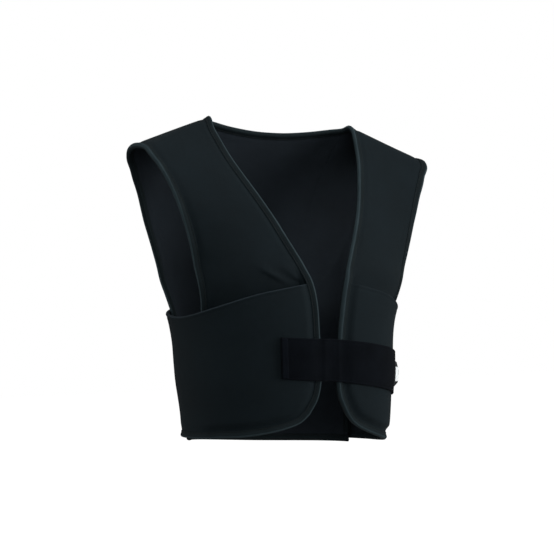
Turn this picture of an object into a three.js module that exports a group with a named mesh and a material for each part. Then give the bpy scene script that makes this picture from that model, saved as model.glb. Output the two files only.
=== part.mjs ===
// A rib protector: a soft padded vest that is open at the front and under the arms. Two chest panels and
// a back panel hang from the shoulders, a padded wrap goes round the ribs on each side, and one closure
// strap holds the two wraps together. Edges are bound with folded tape.
// Millimetres, +Z up, the wearer looks along -Y, and the wearer's left is +X. Pieces are first placed
// with the hem at height 0, and then the whole vest is lowered so that the shoulders rest at the origin.
import * as THREE from "three";

// Body form
const crestHeight = 407.5; // hem level to the top of the shoulder line, read at the centre line
const shoulderHalf = 200; // centre line to the end of the shoulder
const bodyDepth = 112; // centre line to the front of the ribs
const shoulderSlope = 0.405; // drop of the shoulder line for each millimetre outwards
const slopeStart = 78; // where the shoulder line starts to drop
const slopeRounding = 24;

// Cloth
const panelThickness = 4; // chest and back panels
const wrapThickness = 3.7; // padded rib wraps
const wrapStandoff = 2.6; // room under the wraps for the armhole bindings
const boundThickness = 2; // a panel where its binding presses it
const boundWrapThickness = 2.2;
const bindingWidth = 7; // how far the binding tape reaches in from an edge
const bindingWall = 1.1;
const bindingClearance = 0.76;
const layerClearance = 0.55; // between two cloths that lie on each other
const seamClearance = 0.3; // between two pieces that are sewn edge to edge

// Closure
const strapWidth = 50;
const strapThickness = 2.2;
const strapHeight = 104.5; // its middle above the hem level, at the centre line
const strapLean = 0.13; // its drop for each degree that it goes round to the wearer's left
const strapDrop = 12; // its further drop from the centre line to its free end
const dropPower = 1.3; // how that drop grows on the way
const strapEndBand = 6; // width of the folded band at the sewn end
const bandThickness = 1.2;
const tabLength = 13; // how far the pull tab stands past the strap
const tabHeight = 36;
const tabThickness = 2.6;
const labelThickness = 0.8;
const labelHeight = 17;
const labelWidth = 6.5;

// Horizontal sections from the shoulder line down to just under the hem. height is a share of the
// shoulder line's height, width of shoulderHalf, and front, back and the two rises of bodyDepth. The
// rises push a section out towards the arms, where the shoulder is broad. square is the exponent of the
// section's superellipse.
const sectionColumns = ["height", "width", "front", "back", "frontRise", "backRise", "square"];
const sectionRows = [
  [1.0, 1.09, 0.0, 0.0, 0.0, 0.0, 2.0],
  [0.988, 1.09, 0.01, 0.09, 0.28, 0.16, 2.0],
  [0.9626, 1.085, 0.035, 0.2, 0.4, 0.2, 2.0],
  [0.926, 1.08, 0.125, 0.31, 0.425, 0.22, 2.0],
  [0.8746, 1.06, 0.26, 0.44, 0.415, 0.21, 2.0],
  [0.822, 1.04, 0.405, 0.55, 0.35, 0.165, 2.0],
  [0.77, 1.015, 0.55, 0.64, 0.265, 0.135, 2.0],
  [0.719, 0.99, 0.68, 0.715, 0.165, 0.105, 2.0],
  [0.6685, 0.96, 0.785, 0.775, 0.085, 0.06, 2.0],
  [0.618, 0.92, 0.86, 0.82, 0.035, 0.025, 2.0],
  [0.5686, 0.875, 0.925, 0.855, 0.005, 0.0, 2.0],
  [0.519, 0.83, 0.98, 0.875, 0.0, 0.0, 2.05],
  [0.4656, 0.769, 1.01, 0.86, 0.0, 0.0, 2.15],
  [0.4, 0.705, 1.015, 0.83, 0.0, 0.0, 2.25],
  [0.325, 0.676, 1.0, 0.81, 0.0, 0.0, 2.3],
  [0.24, 0.67, 0.98, 0.8, 0.0, 0.0, 2.3],
  [0.15, 0.656, 0.95, 0.79, 0.0, 0.0, 2.3],
  [0.06, 0.642, 0.9, 0.775, 0.0, 0.0, 2.3],
  [-0.03, 0.628, 0.86, 0.755, 0.0, 0.0, 2.3],
  [-0.12, 0.605, 0.82, 0.735, 0.0, 0.0, 2.3],
];
// Depths cross the shoulder line from front to back, so they change sign there, and the rest mirrors.
const changesSign = { front: true, back: true, frontRise: true, backRise: true };

// Edges of the chest panels. across is a share of shoulderHalf, up of the shoulder line's height.
const edgeColumns = ["across", "up"];
const hemCornerRows = [
  [0.134, 0.1],
  [0.182, 0.076],
  [0.266, 0.056],
  [0.44, 0.031],
  [0.57, 0.018],
];
const frontEdgeRows = [
  [0.134, 0.1],
  [0.083, 0.147],
  [0.064, 0.195],
  [0.074, 0.321],
  [0.102, 0.4446],
  [0.15, 0.519],
  [0.245, 0.618],
  [0.339, 0.719],
  [0.427, 0.822],
  [0.465, 0.8746],
  [0.5, 0.9435],
  [0.51, 0.976],
  [0.505, 1.0],
];
const neckRows = [
  [0.505, 1.0],
  [0.492, 0.991],
  [0.435, 0.9785],
  [0.33, 0.9615],
  [0.17, 0.9485],
  [0.0, 0.944],
];
const armholeRows = [
  [0.57, 0.018],
  [0.594, 0.15],
  [0.628, 0.3],
  [0.675, 0.425],
  [0.718, 0.519],
  [0.764, 0.629],
  [0.822, 0.7447],
  [0.87, 0.825],
  [0.929, 0.905],
  [0.975, 0.955],
  [1.0, 1.0],
];
// The back's armhole edge takes its own way under the arms, and its hem hangs lower than the front's.
const backCornerRows = [
  [0.592, -0.014],
  [0.608, 0.15],
  [0.63, 0.3],
  [0.653, 0.425],
  [0.702, 0.519],
  [0.753, 0.629],
];

// The rib wrap's hem behind the chest panel, its rear seam, and its top edge past the front edge. round
// is the angle from the front's middle, in degrees, and up the share of the shoulder line's height.
const roundColumns = ["round", "up"];
const wrapHemRows = [
  [80, 0.008],
  [105, 0.0],
  [130, -0.004],
  [152, -0.004],
];
const wrapRearRows = [
  [152, -0.004],
  [152, 0.2],
  [151, 0.422],
];
const wrapTopRows = [
  [22, 0.464],
  [36, 0.453],
  [48, 0.442],
  [62, 0.429],
  [76, 0.416],
  [88, 0.41],
  [101, 0.415],
  [125, 0.421],
  [151, 0.422],
];
const wrapFrontTopUp = 0.479; // where the wrap's top edge meets the front edge

// Soft folds that run across the chest panels above the wrap. across and up give a fold's middle, lean
// its direction in degrees from level, and long, wide and high its size in millimetres.
const foldColumns = ["across", "up", "lean", "long", "wide", "high"];
const foldRows = [
  [0.3, 0.545, -38, 46, 9, 1.1],
  [0.43, 0.535, -24, 60, 10, 0.9],
  [0.6, 0.56, 16, 48, 12, 0.8],
];

// How the worn vest hangs out of true near its hem. aside is a shift to the wearer's left, as a share of
// shoulderHalf, and tilt is how far the left side drops for each millimetre from the centre line.
const hangColumns = ["up", "aside", "tilt"];
const hangRows = [
  [-0.1, 0.036, 0.08],
  [0.05, 0.028, 0.06],
  [0.2, 0.012, 0.03],
  [0.36, 0.0, 0.0],
  [1.1, 0.0, 0.0],
];

function table(columns, rows) {
  return rows.map((row) => Object.fromEntries(columns.map((name, i) => [name, row[i]])));
}

const even = (count) => Array.from({ length: count + 1 }, (_, i) => i / count);
const mix = (a, b, t) => a.map((value, i) => value * (1 - t) + b[i] * t);
const radians = (degrees) => THREE.MathUtils.degToRad(degrees);
const smooth = (t) => {
  const c = Math.min(Math.max(t, 0), 1);
  return c * c * (3 - 2 * c);
};

const sections = table(sectionColumns, sectionRows);

// One column of the section table at row place s, as a smooth curve through the rows.
function sectionValue(name, s) {
  const last = sections.length - 1;
  const place = Math.min(Math.max(s, 0), last);
  const i = Math.min(Math.floor(place), last - 1);
  const t = place - i;
  const b = sections[i][name];
  const c = sections[i + 1][name];
  const sign = changesSign[name] ? -1 : 1;
  const a = i > 0 ? sections[i - 1][name] : sign * c;
  const d = i + 2 <= last ? sections[i + 2][name] : 2 * c - b;
  const slope = (c - a) / 2;
  const end = (d - b) / 2;
  return (
    b * (1 + t * t * (2 * t - 3)) +
    c * t * t * (3 - 2 * t) +
    slope * t * (1 - t) * (1 - t) -
    end * t * t * (1 - t)
  );
}

function sectionAt(s) {
  return {
    height: sectionValue("height", s),
    width: sectionValue("width", s) * shoulderHalf,
    front: sectionValue("front", s) * bodyDepth,
    back: sectionValue("back", s) * bodyDepth,
    frontRise: sectionValue("frontRise", s) * bodyDepth,
    backRise: sectionValue("backRise", s) * bodyDepth,
    square: sectionValue("square", s),
  };
}

// The row place at which the section table has this height share.
function rowAtHeight(share) {
  let low = 0;
  let high = sections.length - 1;
  for (let i = 0; i < 40; i += 1) {
    const mid = (low + high) / 2;
    if (sectionValue("height", mid) > share) low = mid;
    else high = mid;
  }
  return share >= 1 ? 0 : (low + high) / 2;
}

// Height of the shoulder line above a point that lies x from the centre line.
function shoulderLine(x) {
  const out = Math.abs(x) - slopeStart;
  return crestHeight - (shoulderSlope * (out + Math.hypot(out, slopeRounding))) / 2;
}

// The body form over the chest and back. x is the place across, and q the row place: above 0 on the
// front, under 0 on the back, and 0 on the shoulder line.
function drapedPoint(x, q) {
  const section = sectionAt(Math.abs(q));
  const share = Math.min(Math.abs(x) / section.width, 1);
  const curve = (1 - share ** section.square) ** (1 / section.square);
  const front = section.front * curve + section.frontRise * share * share;
  const back = section.back * curve + section.backRise * share * share;
  return new THREE.Vector3(x, q > 0 ? -front : back, section.height * shoulderLine(x));
}

// The same form round the ribs. angle runs from the front's middle round the wearer's left side.
function roundPoint(angle, s) {
  const section = sectionAt(s);
  const power = 2 / section.square;
  const share = Math.abs(Math.sin(angle)) ** power;
  const curve = Math.abs(Math.cos(angle)) ** power;
  const x = Math.sign(Math.sin(angle)) * section.width * share;
  const front = section.front * curve + section.frontRise * share * share;
  const back = section.back * curve + section.backRise * share * share;
  const y = Math.cos(angle) > 0 ? -front : back;
  return new THREE.Vector3(x, y, section.height * shoulderLine(x));
}

const draped = { point: drapedPoint, step: [0.05, 0.002] };
const round = { point: roundPoint, step: [0.0005, 0.002] };

// Place, outward normal and the two tangents of a form at its coordinates u and v.
function surface(form, u, v) {
  const [du, dv] = form.step;
  const along = form.point(u + du, v).sub(form.point(u - du, v)).divideScalar(2 * du);
  const down = form.point(u, v + dv).sub(form.point(u, v - dv)).divideScalar(2 * dv);
  const normal = down.clone().cross(along).normalize();
  return { place: form.point(u, v), normal, along, down };
}

// The coordinates reached from u, v by a short walk along the form.
function walk(form, u, v, step) {
  const { along, down } = surface(form, u, v);
  const aa = along.dot(along);
  const ad = along.dot(down);
  const dd = down.dot(down);
  const sa = step.dot(along);
  const sd = step.dot(down);
  const scale = aa * dd - ad * ad;
  return [u + (sa * dd - sd * ad) / scale, v + (sd * aa - sa * ad) / scale];
}

// A line on a form: a smooth curve through a few points, kept as short steps of even length.
const lineSteps = 240;
function lineThrough(form, points) {
  const rowLength = 24; // a section row is about this long on the body
  const scaleU = form === round ? shoulderHalf * 0.7 : 1;
  const knots = points.map(([u, v]) => new THREE.Vector3(u * scaleU, v * rowLength, 0));
  const curve = new THREE.CatmullRomCurve3(knots, false, "centripetal");
  const coordinates = [];
  for (let i = 0; i <= lineSteps; i += 1) {
    const p = curve.getPoint(i / lineSteps);
    coordinates.push([p.x / scaleU, p.y / rowLength]);
  }
  return measured(form, coordinates);
}

function measured(form, coordinates) {
  const lengths = [0];
  let before = form.point(...coordinates[0]);
  for (const c of coordinates.slice(1)) {
    const here = form.point(...c);
    lengths.push(lengths.at(-1) + here.distanceTo(before));
    before = here;
  }
  const total = lengths.at(-1);
  const places = coordinates.map((c) => form.point(...c));
  const at = (share) => {
    const wanted = Math.min(Math.max(share, 0), 1) * total;
    let i = 1;
    while (i < lengths.length - 1 && lengths[i] < wanted) i += 1;
    const t = (wanted - lengths[i - 1]) / (lengths[i] - lengths[i - 1] || 1);
    return coordinates[i].map((c, k) => coordinates[i - 1][k] * (1 - t) + c * t);
  };
  return { form, coordinates, places, total, at };
}

function backwards(line) {
  return measured(line.form, [...line.coordinates].reverse());
}

function part(line, from, to) {
  const coordinates = [];
  for (let i = 0; i <= lineSteps; i += 1) {
    coordinates.push(line.at(from + ((to - from) * i) / lineSteps));
  }
  return measured(line.form, coordinates);
}

// The same line in the coordinates of the form round the ribs.
function wrapped(line) {
  const coordinates = line.coordinates.map(([x, q]) => {
    const section = sectionAt(q);
    const turn = Math.asin(Math.min(x / section.width, 1) ** (section.square / 2));
    return [turn, q];
  });
  return measured(round, coordinates);
}

const onFront = ({ across, up }) => [across * shoulderHalf, rowAtHeight(up)];
const onBack = ({ across, up }) => [across * shoulderHalf, -rowAtHeight(up)];
const aroundRibs = (row) => [radians(row.round), rowAtHeight(row.up)];

// Lines of the wearer's left side. The right side mirrors them.
const frontEdge = lineThrough(draped, table(edgeColumns, frontEdgeRows).map(onFront));
const frontHem = lineThrough(draped, table(edgeColumns, hemCornerRows).map(onFront));
const armholeFront = lineThrough(draped, table(edgeColumns, armholeRows).map(onFront));
const armholeBack = lineThrough(
  draped,
  table(edgeColumns, [...backCornerRows, ...armholeRows.slice(backCornerRows.length)]).map(onBack),
);
const neckHalf = lineThrough(
  draped,
  [...table(edgeColumns, neckRows), { across: -neckRows[4][0], up: neckRows[4][1] }].map(onBack),
);
const neckLine = part(neckHalf, 0, neckHalfShare());
const hemCornerX = armholeBack.at(0)[0];
const hemCornerUp = backCornerRows[0][1];
const hemDip = 0.0095; // how much lower the back's hem hangs at its middle, as a share of that height
function hemPoint(x) {
  const share = x / hemCornerX;
  return [x, -rowAtHeight(hemCornerUp - hemDip * (1 - share * share))];
}
const backHem = measured(draped, even(lineSteps).map((t) => hemPoint(hemCornerX * (1 - t))));

// The share of the neck curve at which it crosses the centre line.
function neckHalfShare() {
  let low = 0.5;
  let high = 1;
  for (let i = 0; i < 30; i += 1) {
    const mid = (low + high) / 2;
    if (neckHalf.at(mid)[0] > 0) low = mid;
    else high = mid;
  }
  return (low + high) / 2;
}

// The front edge splits where the wrap's top edge meets it.
function shareAtRow(line, row) {
  let low = 0;
  let high = 1;
  for (let i = 0; i < 30; i += 1) {
    const mid = (low + high) / 2;
    if (line.at(mid)[1] > row) low = mid;
    else high = mid;
  }
  return (low + high) / 2;
}
const wrapMeets = shareAtRow(frontEdge, rowAtHeight(wrapFrontTopUp));
const lowerEdge = part(frontEdge, 0, wrapMeets);
const upperEdge = part(frontEdge, wrapMeets, 1);

const wrapFront = wrapped(lowerEdge);
const wrapFrontHem = wrapped(frontHem);
const wrapSideHem = lineThrough(round, [
  wrapFrontHem.at(1),
  ...table(roundColumns, wrapHemRows).map(aroundRibs),
]);
const wrapHem = measured(round, [...wrapFrontHem.coordinates, ...wrapSideHem.coordinates.slice(1)]);
const wrapRear = lineThrough(round, table(roundColumns, wrapRearRows).map(aroundRibs));
const wrapTop = lineThrough(round, [
  wrapFront.at(1),
  ...table(roundColumns, wrapTopRows).map(aroundRibs),
]);

// A four-sided patch between two side lines and two end lines, given as functions of a share.
function patch(left, right, bottom, top) {
  const corner = [left(0), right(0), left(1), right(1)];
  return (u, v) =>
    [0, 1].map(
      (k) =>
        left(v)[k] * (1 - u) +
        right(v)[k] * u +
        bottom(u)[k] * (1 - v) +
        top(u)[k] * v -
        corner[0][k] * (1 - u) * (1 - v) -
        corner[1][k] * u * (1 - v) -
        corner[2][k] * (1 - u) * v -
        corner[3][k] * u * v,
    );
}

// Turns lists of corner points and faces into a geometry whose faces look outwards.
function closedGeometry(points, faces) {
  let volume = 0;
  for (const [a, b, c] of faces) volume += points[a].dot(points[b].clone().cross(points[c]));
  const turned = volume < 0 ? faces.map(([a, b, c]) => [a, c, b]) : faces;
  const geometry = new THREE.BufferGeometry();
  const numbers = points.flatMap((p) => p.toArray());
  geometry.setAttribute("position", new THREE.Float32BufferAttribute(numbers, 3));
  geometry.setIndex(turned.flat());
  geometry.computeVertexNormals();
  return geometry;
}

// Share of the pressing by a binding at a distance from the edge: 1 under the tape, 0 past it.
const pressedReach = bindingWidth + 4;
const releaseReach = 8;
function pressed(distance, reach = pressedReach, release = releaseReach) {
  return 1 - smooth((distance - reach) / release);
}

// How far a place lies from the nearest of some lines of the wearer's left side, or from their mirror
// images if it is on the right.
function distanceTo(lines, place) {
  const folded = new THREE.Vector3(Math.abs(place.x), place.y, place.z);
  return Math.min(...lines.flatMap((line) => line.places.map((p) => p.distanceTo(folded))));
}

// A sheet of cloth on a form. us and vs are the grid's shares, and faces gives the heights of its outer
// and inner face over the form at a place.
function sheetGeometry(form, at, us, vs, faces) {
  const grid = vs.map((v) => us.map((u) => at(u, v)));
  const points = [];
  const index = [[], []];
  grid.forEach((row) =>
    row.forEach(([a, b]) => {
      const { place, normal } = surface(form, a, b);
      const heights = faces(place);
      heights.forEach((height, side) => {
        index[side].push(points.length);
        points.push(place.clone().addScaledVector(normal, height));
      });
    }),
  );
  const columns = us.length;
  const rows = vs.length;
  const id = (side, i, j) => index[side][j * columns + i];
  const triangles = [];
  const quad = (a, b, c, d) => triangles.push([a, b, c], [a, c, d]);
  for (let j = 0; j < rows - 1; j += 1) {
    for (let i = 0; i < columns - 1; i += 1) {
      quad(id(0, i, j), id(0, i + 1, j), id(0, i + 1, j + 1), id(0, i, j + 1));
      quad(id(1, i, j), id(1, i, j + 1), id(1, i + 1, j + 1), id(1, i + 1, j));
    }
  }
  for (let i = 0; i < columns - 1; i += 1) {
    quad(id(0, i, 0), id(1, i, 0), id(1, i + 1, 0), id(0, i + 1, 0));
    quad(id(0, i + 1, rows - 1), id(1, i + 1, rows - 1), id(1, i, rows - 1), id(0, i, rows - 1));
  }
  const last = columns - 1;
  for (let j = 0; j < rows - 1; j += 1) {
    quad(id(0, 0, j + 1), id(1, 0, j + 1), id(1, 0, j), id(0, 0, j));
    quad(id(0, last, j), id(1, last, j), id(1, last, j + 1), id(0, last, j + 1));
  }
  return closedGeometry(points, triangles);
}

// Heights of the pressed faces over the body form. The panels' outer face is the form itself.
const pressOuter = -(panelThickness - boundThickness) / 2;
const pressInner = -panelThickness - pressOuter;

const folds = table(foldColumns, foldRows);
function foldHeight(place) {
  let height = 0;
  for (const fold of folds) {
    const dx = Math.abs(place.x) - fold.across * shoulderHalf;
    const dz = place.z - fold.up * crestHeight;
    const lean = radians(fold.lean);
    const along = (dx * Math.cos(lean) + dz * Math.sin(lean)) / fold.long;
    const over = (dz * Math.cos(lean) - dx * Math.sin(lean)) / fold.wide;
    height += fold.high * Math.exp(-4 * along * along - over * over);
  }
  return height;
}

function panelFaces(distance, raised) {
  const press = pressed(distance);
  const free = (1 - press) * raised;
  return [pressOuter * press + free, -panelThickness + (pressInner + panelThickness) * press + free];
}

// Chest panel
const lowerRows = 11;
const upperShares = [...even(12).map((t) => t * 0.9), 0.922, 0.942, 0.961, 0.98, 1];
const edgeShares = [
  ...even(lowerRows).map((t) => t * wrapMeets),
  ...upperShares.slice(1).map((t) => wrapMeets + t * (1 - wrapMeets)),
];
const chestColumns = [0, 0.06, 0.12, 0.19, 0.34, 0.5, 0.66, 0.81, 0.88, 0.94, 1];
// Chest and back panel each stop short of the shoulder line, so that their seam keeps its gap.
const shoulderGap = seamClearance / 2;
const neckGap = seamClearance * 0.6; // the neck edge leaves the shoulder line at a slant
function shortened(line) {
  const share = 1 - shoulderGap / line.total;
  return (t) => line.at(t * share);
}
function chestPanel() {
  const left = shortened(frontEdge);
  const right = shortened(armholeFront);
  const topLeft = left(1);
  const topRight = right(1);
  const top = (t) => mix(topLeft, topRight, t);
  const at = patch(left, right, (t) => frontHem.at(t), top);
  const bound = [frontEdge, frontHem, armholeFront, armholeBack, neckLine];
  return sheetGeometry(draped, at, chestColumns, edgeShares, (place) =>
    panelFaces(distanceTo(bound, place), foldHeight(place)),
  );
}

// Back panel, from the wearer's right armhole to the left one
const backBody = even(11).map((t) => 0.06 + t * 0.83);
const backShares = [0, 0.028, ...backBody, 0.918, 0.945, 0.973, 1];
const crestShares = [0, 0.06, 0.12, 0.24, 0.55, 0.82, 0.92, 1];
const neckShares = [0, 0.03, 0.065, 0.1, 0.15, 0.24, 0.4, 0.6, 0.8, 1];
// Share of the back's width that the shoulder line takes on each side of the neck
const crestShare = (armholeBack.at(1)[0] - neckLine.at(0)[0]) / (2 * armholeBack.at(1)[0]);
function backColumns() {
  return [
    ...crestShares.map((t) => t * crestShare),
    ...neckShares.slice(1).map((t) => crestShare + t * (0.5 - crestShare)),
  ];
}

function backPanel() {
  const edge = shortened(armholeBack);
  const right = (t) => edge(t);
  const left = (t) => [-edge(t)[0], edge(t)[1]];
  const outer = edge(1);
  const neckFrom = neckGap / neckLine.total;
  const neckStart = neckLine.at(neckFrom);
  const hem = (t) => hemPoint(hemCornerX * (2 * t - 1));
  const top = (t) => {
    const side = t < 0.5 ? -1 : 1;
    const fromOuter = Math.min(t, 1 - t) / crestShare;
    if (fromOuter <= 1) {
      return [side * (outer[0] + (neckStart[0] - outer[0]) * fromOuter), outer[1]];
    }
    const share = (Math.min(t, 1 - t) - crestShare) / (0.5 - crestShare);
    const [x, q] = neckLine.at(neckFrom + (1 - neckFrom) * share);
    return [side * x, q];
  };
  const at = patch(left, right, hem, top);
  const half = backColumns();
  const us = [...half, ...half.slice(0, -1).reverse().map((t) => 1 - t)];
  const bound = [armholeBack, armholeFront, neckLine, backHem, frontEdge];
  return sheetGeometry(draped, at, us, backShares, (place) => panelFaces(distanceTo(bound, place), 0));
}

// Rib wrap. Near the front edge and the front hem it is sewn to the chest panel, and further round it
// stands off to clear the armhole bindings.
const doubleInner = pressOuter + layerClearance;
const doubleOuter = doubleInner + boundWrapThickness;
const wrapOuter = wrapStandoff + wrapThickness;
const pressPlace = 0.62; // where the pressed hem lies between the wrap's inner and outer face
const singleInner = wrapStandoff + (wrapThickness - boundWrapThickness) * pressPlace;
const singleOuter = singleInner + boundWrapThickness;
const singleDelay = 3; // how far behind the chest panel's armhole edge the wrap comes off it
const singleReach = 24;
const singleStart = draped.point(...armholeFront.at(0)).y + singleDelay;
// 0 where the wrap lies on the chest panel, 1 where it is by itself
const alone = (place) => smooth((place.y - singleStart) / singleReach);
const wrapColumns = [0, 0.022, 0.044, 0.075, ...even(19).slice(2)];
const wrapReleaseReach = 14;
const turnedEdge = 1.2; // how much thinner the wrap is at its turned top and rear edges
const turnedReach = 6;

function ribWrap() {
  const at = patch(
    (t) => wrapFront.at(t),
    (t) => wrapRear.at(t),
    (t) => wrapHem.at(t),
    (t) => wrapTop.at(t),
  );
  const vs = [0, 0.06, 0.12, 0.2, 0.32, 0.46, 0.61, 0.76, 0.9, 0.96, 1];
  return sheetGeometry(round, at, wrapColumns, vs, (place) => {
    const press = pressed(distanceTo([wrapFront, wrapHem], place), pressedReach, wrapReleaseReach);
    const [inner, outer] = mix([doubleInner, doubleOuter], [singleInner, singleOuter], alone(place));
    const turned = turnedEdge * pressed(distanceTo([wrapTop, wrapRear], place), 0, turnedReach);
    return [
      wrapOuter + (outer - wrapOuter) * press - turned * (1 - press),
      wrapStandoff + (inner - wrapStandoff) * press,
    ];
  });
}

// Binding tape: a folded channel over an edge. Each station has its place on a form, the heights of the
// faces that the tape covers, and the direction out of the cloth.
function stationsOn(line, shares, heights) {
  return shares.map((share) => ({ form: line.form, at: line.at(share), heights: heights(line, share) }));
}

const lipSlope = 1; // how far in from its lip the tape reaches its full height
const noseStart = 0.3;
const noseShare = 0.45; // height of the tape's blunt nose as a share of its half height
// The channel's section in plan, which the two ends are divided by
const channelPlan = [
  [-bindingWidth, 1],
  [lipSlope - bindingWidth, 2],
  [-noseStart, 2],
  [bindingWall, 1],
  [bindingWall, -1],
  [-noseStart, -2],
  [lipSlope - bindingWidth, -2],
  [-bindingWidth, -1],
  [0, -1],
  [0, 1],
];

function bindingGeometry(stations) {
  const frames = stations.map(({ form, at }) => surface(form, ...at));
  const rings = stations.map(({ form, at, heights: [low, high] }, i) => {
    const before = frames[Math.max(i - 1, 0)].place;
    const after = frames[Math.min(i + 1, frames.length - 1)].place;
    const forwards = after.clone().sub(before).normalize();
    const out = frames[i].normal.clone().cross(forwards).normalize();
    const middle = (low + high) / 2;
    const half = (high - low) / 2 + bindingClearance + bindingWall;
    const lip = half - bindingWall;
    const web = bindingClearance + bindingWall;
    const section = [
      [-bindingWidth, lip],
      [lipSlope - bindingWidth, half],
      [-noseStart, half],
      [web, noseShare * half],
      [web, -noseShare * half],
      [-noseStart, -half],
      [lipSlope - bindingWidth, -half],
      [-bindingWidth, -lip],
      [bindingClearance, -lip],
      [bindingClearance, lip],
    ];
    return section.map(([away, height]) => {
      const reached = walk(form, ...at, out.clone().multiplyScalar(away));
      const { place, normal } = surface(form, ...reached);
      return place.addScaledVector(normal, middle + height);
    });
  });
  return loftedGeometry(rings, channelPlan);
}

// A closed solid through rings of equal count. outline is the ring's plan, which divides the two ends.
function loftedGeometry(rings, outline) {
  const size = rings[0].length;
  const points = rings.flat();
  const triangles = [];
  for (let i = 0; i < rings.length - 1; i += 1) {
    for (let k = 0; k < size; k += 1) {
      const next = (k + 1) % size;
      const a = i * size + k;
      const b = i * size + next;
      const c = (i + 1) * size + next;
      const d = (i + 1) * size + k;
      triangles.push([a, b, c], [a, c, d]);
    }
  }
  const plan = outline.map(([x, y]) => new THREE.Vector2(x, y));
  const last = (rings.length - 1) * size;
  const turns = THREE.ShapeUtils.isClockWise(plan) ? -1 : 1;
  for (const [a, b, c] of THREE.ShapeUtils.triangulateShape(plan, [])) {
    const near = turns > 0 ? [c, b, a] : [a, b, c];
    triangles.push(near);
    triangles.push([last + near[2], last + near[1], last + near[0]]);
  }
  return closedGeometry(points, triangles);
}

const single = [pressInner, pressOuter];
const double = [pressInner, doubleOuter];
const wrapOnly = [singleInner, singleOuter];

// The wrap's hem: one cloth behind the chest panel's armhole edge, two in front of it.
function hemHeights(line, share) {
  return mix(double, wrapOnly, alone(line.form.point(...line.at(share))));
}
// Above the wrap's top corner the tape narrows to the chest panel alone.
const narrowingStart = 2;
const narrowing = 20;
function upperHeights(line, share) {
  return mix(double, single, smooth((share * line.total - narrowingStart) / narrowing));
}

const rearInset = 0.002; // share of the hem that the tape leaves bare at the wrap's rear corner
function edgeBinding() {
  const hemLine = backwards(wrapHem);
  const fromRear = [...wrapColumns].reverse().map((t) => Math.max(1 - t, rearInset));
  const left = [
    ...stationsOn(hemLine, fromRear, hemHeights),
    ...stationsOn(wrapFront, even(lowerRows).slice(1), () => double),
    ...stationsOn(upperEdge, upperShares.slice(1), upperHeights),
    ...stationsOn(neckLine, neckShares.slice(1), () => single),
  ];
  const right = left.slice(0, -1).reverse().map(mirroredStation);
  return bindingGeometry([...left, ...right]);
}

function mirroredStation(station) {
  const [u, v] = station.at;
  return { ...station, at: [-u, v] };
}

// The armhole binding runs from the back hem over the shoulder to the front hem.
const lapClearance = 3; // between the end of one tape and the side of the next
function armholeBinding() {
  const clearOfHem = bindingWidth + lapClearance;
  const clearOfWrap = pressedReach + wrapReleaseReach;
  const fromEnd = (line, shares, gap) => {
    const first = gap / line.total;
    return [first, ...shares.filter((t) => t > first + 0.01)];
  };
  const back = stationsOn(armholeBack, fromEnd(armholeBack, backShares, clearOfHem), () => single);
  const front = stationsOn(armholeFront, fromEnd(armholeFront, edgeShares, clearOfWrap), () => single);
  return bindingGeometry([...back, ...front.reverse().slice(1)]);
}

const hemTapeInset = 0.6; // how far the back hem's tape stops short of the panel's corner
function backHemBinding() {
  const half = backColumns().map((t) => {
    const across = Math.min(hemCornerX * (1 - 2 * t), hemCornerX - hemTapeInset);
    return { form: draped, at: hemPoint(across), heights: single };
  });
  return bindingGeometry([...half.map(mirroredStation), ...half.slice(0, -1).reverse()]);
}

// Closure strap, over both wraps and the gap between them
const strapFrom = -24.3; // degrees round from the front's middle, at the sewn end
const strapTo = 66;
const overWraps = wrapOuter + layerClearance;
const overGap = doubleOuter + bindingClearance + bindingWall + layerClearance;
function strapHeightAt(angle) {
  const share = Math.max(angle, 0) / radians(strapTo);
  return strapHeight - strapLean * THREE.MathUtils.radToDeg(angle) - strapDrop * share ** dropPower;
}

// Height of the strap's inner face: it dips towards the front edges, where the wraps are thin.
const dipHalf = 14;
const dipReach = 16;
function strapInner(place) {
  return overGap + (overWraps - overGap) * smooth((Math.abs(place.x) - dipHalf) / dipReach);
}

// A band along the strap's path. half is half its width, and low and high are the heights of its faces
// over the strap's inner face.
function strapSheet(fromAngle, toAngle, cells, half, low, high) {
  const at = (u, v) => {
    const angle = fromAngle + (toAngle - fromAngle) * u;
    const height = strapHeightAt(angle) + half * (2 * v - 1);
    const x = roundPoint(angle, rowAtHeight(height / shoulderLine(0))).x;
    return [angle, rowAtHeight(height / shoulderLine(x))];
  };
  return sheetGeometry(round, at, even(cells), even(2), (place) => {
    const inner = strapInner(place);
    return [inner + high, inner + low];
  });
}

const strapCells = 30;
function closureStrap() {
  return strapSheet(radians(strapFrom), radians(strapTo), strapCells, strapWidth / 2, 0, strapThickness);
}

// The folded band that is sewn across the strap's fixed end
const bandInset = 0.12; // its distance from the strap's end, as a share of its width
const bandMargin = 1; // how much shorter it is than the strap is wide, at each side
function strapBand() {
  const sewnEnd = roundPoint(radians(strapFrom), rowAtHeight(strapHeight / crestHeight));
  const reach = strapEndBand / Math.hypot(sewnEnd.x, sewnEnd.y);
  const start = radians(strapFrom) + reach * bandInset;
  const low = strapThickness + seamClearance;
  return strapSheet(start, start + reach, 2, strapWidth / 2 - bandMargin, low, low + bandThickness);
}

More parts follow.
